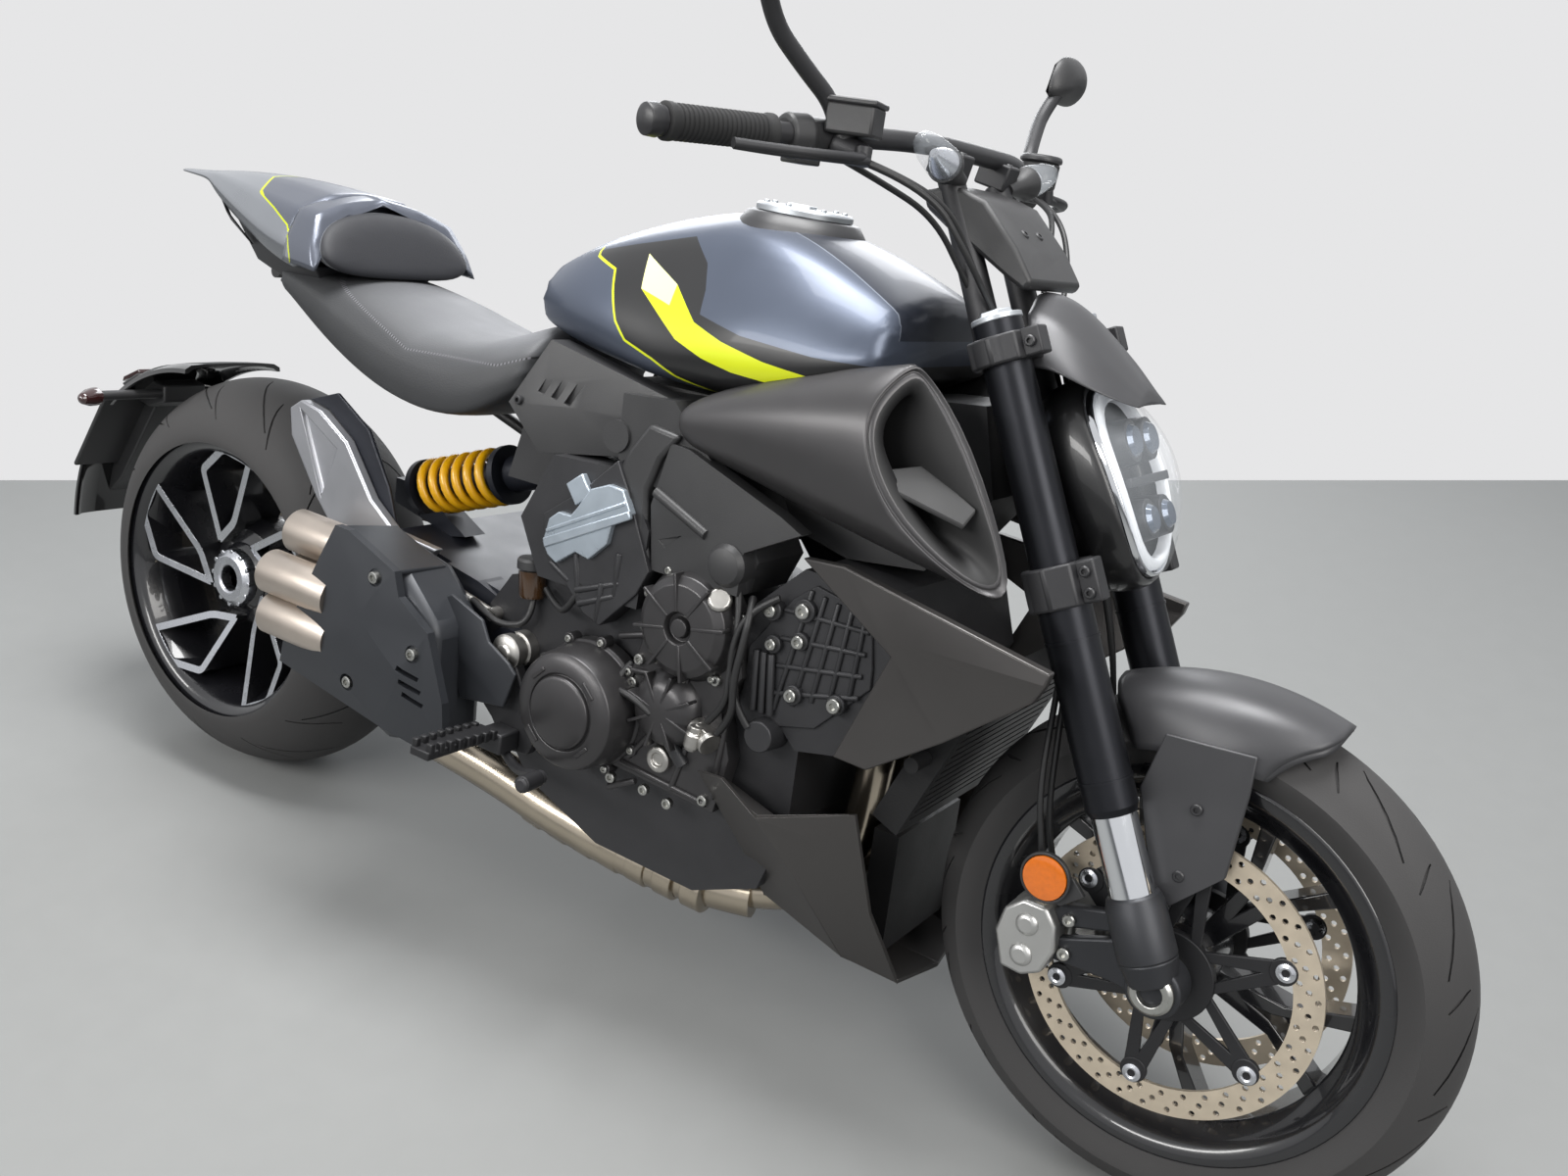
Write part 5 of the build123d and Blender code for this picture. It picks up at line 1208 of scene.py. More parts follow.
hose_black = plain("hose_black", paint(24, 24, 25), roughness=0.5, drift=0.1, grain=0.2, grain_size=0.001)
hose_routes = both_sides([(1452, 104, 352), (1440, 108, 400), (1424, 112, 470), (1416, 96, 560),
                          (1402, 62, 650), (1384, 46, 712)],
                         [(1470, 82, 330), (1452, 86, 372), (1434, 98, 440), (1424, 88, 540),
                          (1406, 56, 640), (1388, 36, 700)])
pipe("brake_hoses", hose_routes, 3.6, "steering", hose_black, ["brake_hoses"])


# The front mudguard is short, with a straight front edge that points a little forward and a deep
# cheek on each side that bolts to the fork foot.
FENDER_R = 327
FENDER_REAR = -25
FENDER_FRONT = 20
FENDER_HALF = [(0, 0), (34, -4), (60, -18), (76, -44), (82, -76), (79, -76), (72, -46), (56, -22), (32, -9),
               (0, -5)]


def fender_point(angle, y, rise, side):
    """A point on the mudguard; its sides end earlier than its middle, most at the front."""
    share = max(0.0, (abs(y) - 56) / 26)
    turn = angle - 9 * share * abs(angle) / FENDER_FRONT if angle > 0 else angle + 4 * share * abs(angle) / 25
    narrow = 1 - 0.16 * max(0.0, abs(angle) / 25) ** 2
    return spin_about(FRONT_AXLE, turn) @ Vector((WHEELBASE, side * y * narrow, FRONT_R + FENDER_R + rise))


fender = bmesh.new()
rings = [[fender_point(a, y, r, s) for s, y, r in
          [(-1, *p) for p in FENDER_HALF] + [(1, *p) for p in FENDER_HALF[-2:0:-1]]]
         for a in [FENDER_REAR + (FENDER_FRONT - FENDER_REAR) * n / 7 for n in range(8)]]
lofted(fender, rings, creased=(4, 5, 13, 14), crease=0.9)
wing_matt = plain("fender_matt", paint(62, 62, 64), metallic=0.3, roughness=0.4, drift=0.08, grain=0.1,
                  grain_size=0.0008)
put("front_fender", fender, "steering", wing_matt, ["front_fender"], smooth=2)
cheeks = bmesh.new()
panel(cheeks, [(1536, -81, 566), (1632, -82, 572), (1634, -84, 530), (1631, -86, 436), (1582, -88, 384),
               (1556, -86, 402), (1522, -82, 500)], [(0, 1, 2, 6), (2, 3, 5, 6), (3, 4, 5)], (0, 5, 0))
mirrored(cheeks)
put("fender_cheeks", cheeks, "steering", wing_matt, bevel=1.6, crease_angle=12)
fender_bolts = bmesh.new()
for side in (-1, 1):
    for x, z in ((1586, 498), (1584, 420)):
        socket_bolt(fender_bolts, (x, side * 84, z), (0, side, 0), 6.5, 4)
put("fender_bolts", fender_bolts, "steering", cap_black)


# The headlamp is a tall horseshoe: a black shell, a bright inner frame, a pale light guide round
# the rim and two projector modules behind a domed clear lens.
HORSESHOE = [(0, 964), (36, 960), (62, 944), (80, 908), (84, 862), (77, 812), (59, 770), (34, 747), (0, 739)]
LAMP_MID = 848
LAMP_HALF_TALL = 122


def lamp_ring(scale, offset):
    """The horseshoe drawn at a scale, on the lamp's domed front."""
    half = []
    for y, h in HORSESHOE:
        y, h = y * scale, LAMP_MID + (h - LAMP_MID) * scale
        dome = 52 * (1 - ((h - LAMP_MID) / LAMP_HALF_TALL) ** 2) - 34 * (y / 84) ** 2
        half.append((y, h, 92 + dome + offset))
    right = [on_fork(h, a, -y) for y, h, a in half]
    return right + [on_fork(h, a, y) for y, h, a in reversed(half[1:-1])]


shell_black = plain("lamp_shell", paint(20, 20, 21), roughness=0.34, coat=0.4, drift=0.1)
guide_white, shader, _ = finish("light_guide", paint(226, 229, 232), roughness=0.25, coat=0.6, drift=0.03)
shader.inputs["Emission Color"].default_value = (0.9, 0.93, 1.0, 1)
shader.inputs["Emission Strength"].default_value = 0.18
lens_clear = plain("clear_lens", paint(226, 232, 238), roughness=0.05, coat=1.0, drift=0.02, alpha=0.16)
projector = plain("projector_glass", paint(92, 104, 122), metallic=0.4, roughness=0.08, coat=1.0, drift=0.2)
shell = bmesh.new()
back = [[p.lerp(on_fork(860, 40), 0.22) - (on_fork(0, 1) - on_fork(0, 0)) * 66 for p in lamp_ring(1.0, 0)],
        lamp_ring(1.06, -58), lamp_ring(1.10, -30), lamp_ring(1.09, -12), lamp_ring(1.05, -5),
        lamp_ring(1.0, -8), lamp_ring(0.99, -40), lamp_ring(0.7, -52)]
lofted(shell, back, crease=0.3)
put("headlight_shell", shell, "steering", shell_black, ["headlight"], smooth=1)
frame_ring = bmesh.new()
lofted(frame_ring, [lamp_ring(1.0, -9), lamp_ring(0.995, -3), lamp_ring(0.955, -5), lamp_ring(0.95, -12)],
       ends=False)
put("headlight_frame", frame_ring, "steering", chrome, smooth=1)
guide = bmesh.new()
lofted(guide, [lamp_ring(0.94, -12), lamp_ring(0.93, -5), lamp_ring(0.84, -7), lamp_ring(0.80, -16),
               lamp_ring(0.80, -24)], ends=False)
put("headlight_guide", guide, "steering", guide_white, smooth=1)
lens = bmesh.new()
lofted(lens, [lamp_ring(scale, 0) for scale in (0.975, 0.8, 0.6, 0.4, 0.2, 0.04)], ends=False)
put("headlight_lens", lens, "steering", lens_clear, smooth=1)
modules, rims = bmesh.new(), bmesh.new()
for h, reach in ((892, 25), (806, 23)):
    for y in (-27, 27):
        bar(rims, on_fork(h, 84, y), on_fork(h, 116, y), reach + 3, reach - 1, sides=32)
        bar(modules, on_fork(h, 114, y), on_fork(h, 121, y), reach - 5, reach - 10, sides=32)
block(rims, on_fork(LAMP_MID, 112), (8, 124, 10), tilt(-RAKE_DEGREES))
put("headlight_modules", modules, "steering", projector, crease_angle=45)
put("headlight_bezels", rims, "steering", foot_grey, bevel=1.0)

# The cowl over the lamp is creased along each side, and the instrument pod leans back above it. Both
# are moulded, and bolt to the upper clamp.
COWL_HALVES = [
    (46, [(0, 1004), (58, 998), (86, 990), (91, 994), (86, 1016), (62, 1052), (22, 1076), (0, 1079)]),
    (66, [(0, 1000), (58, 992), (88, 984), (93, 987), (88, 1004), (62, 1042), (22, 1068), (0, 1071)]),
    (90, [(0, 980), (56, 974), (88, 964), (93, 966), (86, 980), (58, 1016), (20, 1042), (0, 1046)]),
    (114, [(0, 952), (48, 950), (76, 941), (80, 943), (74, 954), (50, 978), (18, 996), (0, 999)]),
    (136, [(0, 924), (30, 924), (46, 922), (49, 923), (44, 927), (30, 934), (12, 941), (0, 943)]),
]
cowl = bmesh.new()
lofted(cowl, fork_halves(COWL_HALVES), creased=both_rows((3, 5), 8), crease=0.75)
put("headlight_cowl", cowl, "steering", wing_matt, ["headlight_cowl"], smooth=2)


def fork_slab(shape, outline, y_low, y_high):
    """An outline in height and distance ahead, given its thickness across the fork."""
    for v in slab(shape, outline, y_low, y_high):
        v.co = on_fork(v.co.x, v.co.z, v.co.y)


pod = bmesh.new()
fork_slab(pod, [(1216, -34), (1208, 4), (1180, 34), (1120, 56), (1080, 64), (1074, 52), (1094, 36), (1140, 4),
                (1196, -36)], -74, 74)
notch = bmesh.new()
fork_slab(notch, [(1165, 32), (1172, 60), (1120, 80), (1112, 54)], -34, 34)
pod = cut(pod, notch)
put("instrument_pod", pod, "steering", moulded, ["dashboard"], bevel=5.0)
screen_glass = plain("screen_glass", paint(12, 14, 18), roughness=0.08, coat=1.0, drift=0.1)
screen = bmesh.new()
fork_slab(screen, [(1198, -36), (1196, -38.5), (1136, -1), (1138, 2)], -62, 62)
put("instrument_screen", screen, "steering", screen_glass, bevel=1.0)
pod_bolts = bmesh.new()
for y in (-20, 20):
    socket_bolt(pod_bolts, on_fork(1140, 45, y), on_fork(1.0, 2.2) - on_fork(0, 0), 6, 5)
put("instrument_bolts", pod_bolts, "steering", cap_black)


# The handlebar is one bent tube with ribbed grips and bar-end weights. Each side has a switch
# block, a lever on its perch, a reservoir, a mirror and a clear indicator lamp.
grip_rubber = plain("grip_rubber", paint(21, 21, 22), roughness=0.72, drift=0.12, grain=0.3,
                    grain_size=0.0012)


def spun(shape, start, end, profile, sides=32):
    """A profile of distance along a line and radius, turned about that line and closed at its ends."""
    start, end = Vector(start), Vector(end)
    turn = (end - start).to_track_quat("Z", "Y").to_matrix().to_4x4()
    place = Matrix.Translation(start) @ turn
    tube(shape, [[place @ Vector((*polar(r, 360 * n / sides), d)) for n in range(sides)] for d, r in profile])


bar_routes = [[(1052, -408, 1099), (1092, -290, 1106), (1142, -172, 1120), (1164, -96, 1124), (1166, 0, 1124),
               (1164, 96, 1124), (1142, 172, 1120), (1092, 290, 1106), (1052, 408, 1099)]]
pipe("handlebar", bar_routes, 11, "steering", clamp_black, ["handlebar"])
grips, weights, switches, levers, cups, cup_lids = [bmesh.new() for _ in range(6)]
for side in (-1, 1):
    outer, inner = Vector((1046, side * 424, 1098)), Vector((1092, side * 290, 1106))
    ribs = [(0, 15.5), (2, 18), (8, 18)]
    for n in range(20):
        ribs += [(10 + 5.4 * n, 17.2), (12 + 5.4 * n, 17.2), (12.8 + 5.4 * n, 15.8), (14.4 + 5.4 * n, 15.8)]
    ribs += [(120, 18.5), (126, 18.5), (128, 14)]
    spun(grips, outer, inner, ribs)
    spun(weights, outer - (inner - outer).normalized() * 22, outer,
         [(0, 10), (3, 15), (14, 16), (18, 14), (22, 14)])
    spun(switches, (1088, side * 284, 1106), (1112, side * 232, 1112),
         [(0, 18), (3, 22), (26, 22), (30, 19), (52, 17)])
    block(switches, (1098, side * 262, 1098), (30, 30, 34), tilt(side * 24, "Z"))
    spun(levers, (1120, side * 236, 1106), (1158, side * 228, 1096), [(0, 15), (6, 17), (30, 12), (38, 10)])
    bar(levers, (1156, side * 240, 1088), (1154, side * 236, 1106), 9)
    if side < 0:
        block(cups, (1138, side * 234, 1130), (50, 44, 30), tilt(14, "Z"))
        block(cup_lids, (1138, side * 234, 1147), (54, 48, 6), tilt(14, "Z"))
        bar(cups, (1126, side * 240, 1100), (1132, side * 236, 1122), 11)
    else:
        spun(cups, (1140, side * 236, 1102), (1140, side * 236, 1140), [(0, 16), (4, 23), (36, 25)])
        spun(cup_lids, (1140, side * 236, 1138), (1140, side * 236, 1148), [(0, 27), (6, 27), (9, 24)])
put("grips", grips, "steering", grip_rubber, crease_angle=50)
put("bar_weights", weights, "steering", cap_black, bevel=0.8)
put("switch_blocks", switches, "steering", moulded, ["hand_controls"], bevel=2.0)
put("lever_perches", levers, "steering", clamp_black, bevel=1.5)
put("reservoirs", cups, "steering", moulded, bevel=3.0)
put("reservoir_lids", cup_lids, "steering", cap_black, bevel=2.0)
lever_routes = both_sides([(1156, 236, 1096), (1166, 262, 1094), (1154, 310, 1091), (1128, 352, 1089),
                           (1106, 392, 1088)],
                          [(1160, 238, 1093), (1162, 270, 1091), (1150, 316, 1089), (1124, 356, 1087),
                           (1106, 390, 1087)])
pipe("hand_levers", lever_routes, 5, "steering", clamp_black)
cable_routes = both_sides([(1130, 226, 1098), (1176, 196, 1086), (1214, 140, 1060), (1230, 96, 1000),
                           (1262, 58, 940), (1312, 40, 860)],
                          [(1112, 236, 1098), (1150, 190, 1078), (1186, 120, 1050), (1212, 78, 990),
                           (1250, 44, 930), (1300, 24, 850)],
                          [(1150, 226, 1092), (1204, 176, 1076), (1240, 146, 1020), (1262, 92, 960),
                           (1290, 66, 900), (1340, 50, 800)])
pipe("control_cables", cable_routes, 3.4, "steering", hose_black)

lens_shape, stalks, reflectors = bmesh.new(), bmesh.new(), bmesh.new()
for side in (-1, 1):
    root, tip = Vector((1180, side * 76, 1096)), Vector((1184, side * 184, 1126))
    run = (tip - root).normalized()
    spun(stalks, root - run * 14, root + run * 34, [(0, 8), (12, 9), (30, 13), (40, 19), (48, 20)])
    spun(lens_shape, root + run * 34, tip, [(0, 19), (8, 20), (40, 17), (62, 12), (70, 6), (72, 1)])
    spun(reflectors, root + run * 36, root + run * 70, [(0, 17), (14, 13), (30, 5)])
put("front_signals", lens_shape, "steering", lens_clear, ["front_signals"], crease_angle=60)
put("signal_stalks", stalks, "steering", moulded, crease_angle=40)
put("signal_reflectors", reflectors, "steering", machined, crease_angle=50)

MIRROR = [(326, 1232), (340, 1272), (362, 1286), (412, 1288), (434, 1274), (440, 1250), (424, 1228),
          (396, 1220), (348, 1222)]
heads, glasses = bmesh.new(), bmesh.new()
for side in (-1, 1):
    flat = [Vector((1087, side * y, z)) for y, z in MIRROR]
    lofted(heads, [shrunk(flat, 3, (0, 0, 0)), shrunk(flat, 0, (3, 0, 0)), shrunk(flat, 3, (10, 0, 0)),
                   shrunk(flat, 16, (20, 0, 0)), shrunk(flat, 34, (24, 0, 0))], crease=0.2)
    glass = [glasses.verts.new(p) for p in shrunk(flat, 6, (-0.6, 0, 0))]
    glasses.faces.new(glass)
put("mirror_heads", heads, "steering", moulded, ["mirrors"], smooth=2)
put("mirror_glasses", glasses, "steering", chrome)
stem_routes = both_sides([(1122, 238, 1112), (1120, 241, 1138), (1102, 288, 1172), (1088, 332, 1206),
                          (1094, 356, 1236)])
pipe("mirror_stems", stem_routes, 9, "steering", clamp_black)


# The engine's castings stay as the frame gives them, with a fine cast skin. Their covers are drawn
# here with ribs, steps and bolts, and a pale plate caps the rear bank.
def dress(look, *nodes):
    """A finish for CAD nodes that stay in view."""
    for node in nodes:
        for holder in frame["nodes"][node].material_slots:
            holder.material = look


engine_black = plain("engine_black", paint(50, 50, 52), metallic=0.4, roughness=0.42, drift=0.14, patch=0.05,
                     grain=0.5, grain_size=0.0014)
cover_black = plain("cover_black", paint(62, 61, 62), metallic=0.55, roughness=0.34, drift=0.1, grain=0.25,
                    grain_size=0.001)
core_black = plain("radiator_core", paint(22, 22, 23), metallic=0.4, roughness=0.5, grain=0.4,
                   grain_size=0.0022)
dress(engine_black, "crankcase", "cylinder_banks")
dress(frame_black, "main_frame", "rear_subframe")
dress(core_black, "radiators")


def disc_cover(shape, centre, profile, steps=64):
    """A round cover on the right side: distances out from its foot, and radii."""
    x, y, z = centre
    turned(shape, [(y - out, r) for out, r in profile], (x, 0, z), steps=steps)


def ribs_round(shape, centre, count, near, far, out, thick, tall, first):
    """Raised ribs round a cover."""
    x, y, z = centre
    for n in range(count):
        angle = first + 360 * n / count
        a, b = polar((near + far) / 2, angle)
        block(shape, (x + a, y - out, z + b), (far - near, tall, thick), tilt(-angle))


def round_cover(centre, radius, first, out):
    """The places of ten bolts round a cover, at a distance out from its middle plane."""
    x, y, z = centre
    return [(x + a, y - out, z + b) for a, b in (polar(radius, first + 36 * n) for n in range(10))]


CLUTCH = (842, -168, 398)
GENERATOR = (984, -166, 545)
WATER = (966, -166, 431)
GENERATOR_BOLTS = 70, 18
CLUTCH_BOLTS = 86, 10
covers = bmesh.new()
disc_cover(covers, CLUTCH, [(-10, 84), (8, 84), (12, 80), (44, 78), (56, 74), (62, 66), (63, 50), (60, 49),
                            (60, 47), (66, 46), (68, 42), (68, 0)])
disc_cover(covers, GENERATOR, [(-12, 70), (10, 70), (16, 66), (30, 62), (38, 52), (40, 26), (40, 20),
                               (30, 18), (30, 13), (38, 11), (39, 0)])
disc_cover(covers, WATER, [(-12, 52), (8, 52), (14, 48), (26, 40), (32, 26), (34, 0)])
ribs_round(covers, GENERATOR, 8, 20, 66, 32, 4, 18, 12)
ribs_round(covers, WATER, 8, 6, 50, 24, 4, 18, 30)
bosses = ((round_cover(GENERATOR, *GENERATOR_BOLTS, -8), round_cover(GENERATOR, *GENERATOR_BOLTS, 14)),
          (round_cover(CLUTCH, *CLUTCH_BOLTS, -6), round_cover(CLUTCH, *CLUTCH_BOLTS, 12)))
for feet, tops in bosses:
    for foot, top in zip(feet, tops):
        bar(covers, foot, top, 8, sides=18)
for n in range(4):
    a, b = polar(57, 45 + 90 * n)
    block(covers, (CLUTCH[0] + a, CLUTCH[1] - 63, CLUTCH[2] + b), (24, 3, 5), tilt(-135 - 90 * n))
slab(covers, [(890, 330), (1050, 322), (1062, 396), (1040, 460), (1064, 500), (1052, 560), (1000, 600),
              (930, 560), (905, 470), (880, 400)], -176, -150)
for (x0, z0), (x1, z1) in (((900, 462), (958, 470)), ((905, 340), (1040, 330)), ((1046, 340), (1052, 450)),
                           ((915, 350), (950, 400)), ((985, 330), (1000, 392)), ((1060, 470), (1050, 520)),
                           ((880, 500), (925, 515)), ((890, 300), (930, 322))):
    bar(covers, (x0, -176, z0), (x1, -176, z1), 4.5, sides=10)
put("engine_covers", covers, "chassis", cover_black, ["engine_covers"], bevel=1.6,
    crease_angle=34)

castings = bmesh.new()
slab(castings, [(748, 574), (741, 624), (800, 668), (849, 716), (870, 682), (915, 592), (900, 560),
                (849, 505), (821, 514), (779, 552)], -182, -150)
for (x0, z0), (x1, z1) in (((800, 588), (812, 520)), ((868, 604), (866, 548)), ((846, 560), (842, 508)),
                           ((806, 540), (872, 566)), ((812, 524), (866, 548)), ((760, 566), (792, 548))):
    bar(castings, (x0, -181, z0), (x1, -178, z1), 5, sides=10)
slab(castings, [(1062, 540), (1112, 612), (1140, 634), (1214, 620), (1226, 560), (1228, 536), (1165, 468),
                (1098, 450), (1060, 446)], -166, -140)
for n in range(5):
    bar(castings, (1136 + 18 * n, -167, 628 - 3 * n), (1108 + 24 * n, -167, 474 + 12 * n), 3.5, sides=8)
for n in range(4):
    bar(castings, (1104, -167, 596 - 34 * n), (1216, -167, 600 - 26 * n), 3.5, sides=8)
for n in range(3):
    bar(castings, (1076 + 10 * n, -170, 540), (1082 + 12 * n, -170, 466), 5, sides=10)
BANK_BOLTS = [(1089, 592, 13, 8), (1132, 603, 14, 9), (1097, 553, 11, 7), (1132, 566, 11, 8),
              (1191, 507, 12, 9), (1133, 501, 12, 8)]
for x, z, boss_r, _ in BANK_BOLTS:
    bar(castings, (x, -140, z), (x, -174, z), boss_r)
bar(castings, (1103, -150, 442), (1103, -186, 442), 22, 19, sides=32)
bar(castings, (1000, -178, 368), (958, -190, 425), 9, sides=20)
put("engine_castings", castings, "chassis", engine_black, bevel=1.6)

# A pale anodised plate with a raised bar caps the rear bank. It is cut from thick sheet, and one long
# boss holds it.
plate_silver = plain("plate_silver", paint(176, 186, 195), metallic=0.7, roughness=0.3, drift=0.08,
                     patch=0.03, grain=0.1, grain_size=0.0008)
PLATE = [(750, 590), (757, 622), (771, 634), (791, 634), (800, 646), (818, 674), (846, 686), (868, 684),
         (884, 657), (856, 636), (852, 612), (826, 586), (804, 590), (775, 568), (760, 576)]
plate = bmesh.new()
slab(plate, PLATE, -190, -178)
slab(plate, [(752, 596), (882, 662), (886, 652), (756, 584)], -193, -186)
slab(plate, [(754, 608), (874, 672), (876, 667), (756, 603)], -192, -186)
block(plate, (797, -176, 668), (30, 22, 30), tilt(-38))
put("head_plate", plate, "chassis", plate_silver, bevel=1.6)

# Bright cap screws hold the covers, and a water pump, an oil filler and a pressure switch stand out
# in bare aluminium.
alloy = plain("bare_alloy", paint(168, 166, 162), metallic=0.95, roughness=0.36, drift=0.12, patch=0.012,
              grain=0.3, grain_size=0.0012)
fixings = bmesh.new()
for x, z in ((915, 480), (909, 448), (893, 314), (946, 316), (984, 311), (1035, 334), (1031, 488),
             (1055, 521), (1054, 572), (811, 545)):
    socket_bolt(fixings, (x, -176, z), (0, -1, 0), 7)
for x, z, _, bolt_r in BANK_BOLTS:
    socket_bolt(fixings, (x, -174, z), (0, -1, 0), bolt_r)
for spot in round_cover(GENERATOR, *GENERATOR_BOLTS, 13) + round_cover(CLUTCH, *CLUTCH_BOLTS, 11):
    socket_bolt(fixings, spot, (0, -1, 0), 5, 4)
put("engine_bolts", fixings, "chassis", bolt_steel)
bright = bmesh.new()
disc_cover(bright, (965, -176, 365), [(-4, 17), (8, 17), (10, 14), (10, 9), (6, 8), (6, 0)], 32)
spun(bright, (1012, -178, 424), (1046, -192, 412),
     [(0, 14), (10, 15), (12, 11), (26, 11), (28, 15), (36, 15)], 20)
spun(bright, (1024, -196, 432), (1020, -196, 398), [(0, 8), (8, 8), (10, 11), (26, 11), (32, 7)], 20)
block(bright, (1030, -184, 420), (26, 22, 20), tilt(20))
spun(bright, (1022, -180, 582), (1034, -200, 596), [(0, 12), (8, 12), (10, 15), (20, 15), (23, 12)], 12)
put("engine_fittings", bright, "chassis", alloy, bevel=1.0)
LOOM = [[(1064, -176, 600), (1076, -196, 586), (1074, -200, 548), (1068, -200, 500), (1072, -196, 458),
         (1050, -190, 430)],
        [(1046, -180, 604), (1062, -192, 560), (1058, -196, 510), (1062, -196, 470), (1034, -190, 440)],
        [(1100, -176, 610), (1070, -190, 590), (1056, -196, 540), (1064, -194, 480), (1088, -186, 450)],
        [(900, -172, 470), (886, -196, 440), (930, -200, 440), (955, -196, 425)]]
pipe("engine_loom", LOOM, 4.5, "chassis", hose_black)

# A black moulded panel with a raised rib fills the corner between the frame leg and the intake, and
# the frame leg itself is a rough casting that ends in a round nose.
corner = bmesh.new()
panel(corner, [(920, -176, 752), (950, -178, 750), (1090, -184, 704), (1120, -184, 690), (1050, -188, 652),
               (1050, -190, 600), (1004, -188, 598), (914, -176, 594), (900, -174, 672), (1000, -190, 662)],
      [(0, 1, 9, 8), (1, 2, 9), (2, 3, 4, 9), (4, 5, 6, 9), (6, 7, 8, 9)], (0, 24, 0))
hole = bmesh.new()
slab(hole, [(920, 634), (956, 648), (932, 627)], -200, -176)
corner = cut(corner, hole)
bar(corner, (908, -176, 690), (996, -188, 660), 7, sides=16)
spun(corner, (1030, -150, 632), (1030, -200, 632), [(0, 26), (40, 26), (47, 21), (50, 12)])
spun(corner, (1030, -166, 600), (1030, -166, 640), [(0, 20), (40, 26)])
mirrored(corner)
put("corner_panels", corner, "chassis", moulded, bevel=2.4)
LEG = [(886, 768), (932, 762), (908, 730), (894, 690), (899, 636), (914, 588), (884, 622), (858, 680),
       (845, 700), (862, 734)]
legs = bmesh.new()
slab(legs, LEG, -178, -150)
mirrored(legs)
put("frame_legs", legs, "chassis", frame_black, bevel=5.0)


# The exhaust: two pipes run back under the engine inside a slotted heat shield to the silencer on
# the right, which has four brushed outlets behind a matt black cover.
pipe_steel = plain("pipe_steel", paint(176, 166, 150), metallic=1.0, roughness=0.24, drift=0.1, patch=0.06,
                   grain=0.1, grain_size=0.0012)
brushed = plain("brushed_steel", paint(190, 180, 170), metallic=1.0, roughness=0.4, drift=0.05, patch=0.05,
                grain=0.2, grain_size=0.0009)
cover_matt = plain("silencer_black", paint(46, 48, 52), roughness=0.44, metallic=0.3, drift=0.1, grain=0.12,
                   grain_size=0.0008)
pipe("header_pipes", [[(1060, -60, 176), (980, -84, 172), (880, -100, 178), (760, -112, 196),
                       (660, -134, 232), (560, -170, 266)]], 33, "chassis", pipe_steel,
     ["header_pipes"])
pipe("down_pipes", both_sides([(1196, 52, 420), (1196, 54, 330), (1170, 58, 250), (1120, 62, 196),
                               (1040, 64, 176)]),
     23, "chassis", pipe_steel)
SHIELD_FRONT = 1010
BAND_PITCH = 44
BAND_WIDE = 30
shield_bands = bmesh.new()
for n in range(7):
    back = BAND_PITCH * n
    front = (SHIELD_FRONT - back, -88 - 0.06 * back, 174 + 0.0003 * back ** 2)
    rear = (SHIELD_FRONT - back - BAND_WIDE, -91 - 0.06 * back, 176 + 0.0003 * (back + BAND_WIDE) ** 2)
    spun(shield_bands, front, rear, [(0, 34), (1.5, 36.5), (28, 36.5), (29.5, 34)], 40)
put("pipe_shield", shield_bands, "chassis", pipe_steel, bevel=0.6)

box = bmesh.new()
slab(box, [(440, 536), (566, 508), (634, 446), (640, 290), (562, 270), (384, 326)], -246, -152)
put("silencer_box", box, "chassis", cover_matt, ["muffler"], bevel=14.0)
outlets = bmesh.new()
for x, y, z in ((318, -212, 500), (328, -262, 450), (322, -212, 436), (334, -262, 392)):
    back = Vector((x, y, z))
    front = back + Vector((120, 14, -8))
    spun(outlets, back, front, [(60, 0.5), (60, 26.5), (3, 27.5), (0, 28), (-1, 29.5), (1, 31), (120, 31)],
         48)
put("silencer_outlets", outlets, "chassis", brushed, crease_angle=50)
COVER = [(452, -262, 546), (478, -262, 545), (569, -262, 512), (580, -262, 480), (637, -262, 447),
         (669, -258, 359), (672, -254, 306), (618, -256, 285), (560, -262, 294), (360, -266, 327),
         (372, -270, 372), (433, -268, 500), (520, -276, 440), (600, -272, 380), (450, -276, 370)]
silencer_cover = bmesh.new()
panel(silencer_cover, COVER, [(0, 1, 2, 12, 11), (2, 3, 12), (3, 4, 13, 12), (4, 5, 6, 13), (6, 7, 8, 13),
                              (8, 9, 14), (8, 14, 12, 13), (9, 10, 14), (10, 11, 12, 14)], (0, 12, 0))
slots = bmesh.new()
for n in range(3):
    x, z = 594 + 5 * n, 389 - 17 * n
    slab(slots, [(x, z - 3), (x + 34, z - 11), (x + 36, z - 5), (x + 2, z + 4)], -300, -240)
silencer_cover = cut(silencer_cover, slots)
SHIELD_BOLTS = [(539, 497), (618, 414), (502, 340)]
wells = bmesh.new()
for x, z in SHIELD_BOLTS:
    bar(wells, (x, -300, z), (x, -264, z), 12)
silencer_cover = cut(silencer_cover, wells)
put("silencer_cover", silencer_cover, "chassis", cover_matt, ["muffler_shield"],
    bevel=3.5, crease_angle=14)
skirt = bmesh.new()
panel(skirt, [(452, -262, 546), (478, -262, 545), (569, -262, 512), (569, -170, 508), (470, -170, 540)],
      [(0, 1, 2, 3, 4)], (0, 0, -6))
panel(skirt, [(360, -266, 327), (560, -262, 294), (618, -256, 285), (618, -170, 290), (560, -170, 298),
              (366, -170, 330)], [(0, 1, 4, 5), (1, 2, 3, 4)], (0, 0, 6))
put("silencer_skirt", skirt, "chassis", cover_matt, bevel=2.0)
cover_bolts = bmesh.new()
for x, z in SHIELD_BOLTS:
    socket_bolt(cover_bolts, (x, -266, z), (0, -1, 0), 8, 6)
put("silencer_bolts", cover_bolts, "chassis", bolt_steel)
heel = bmesh.new()
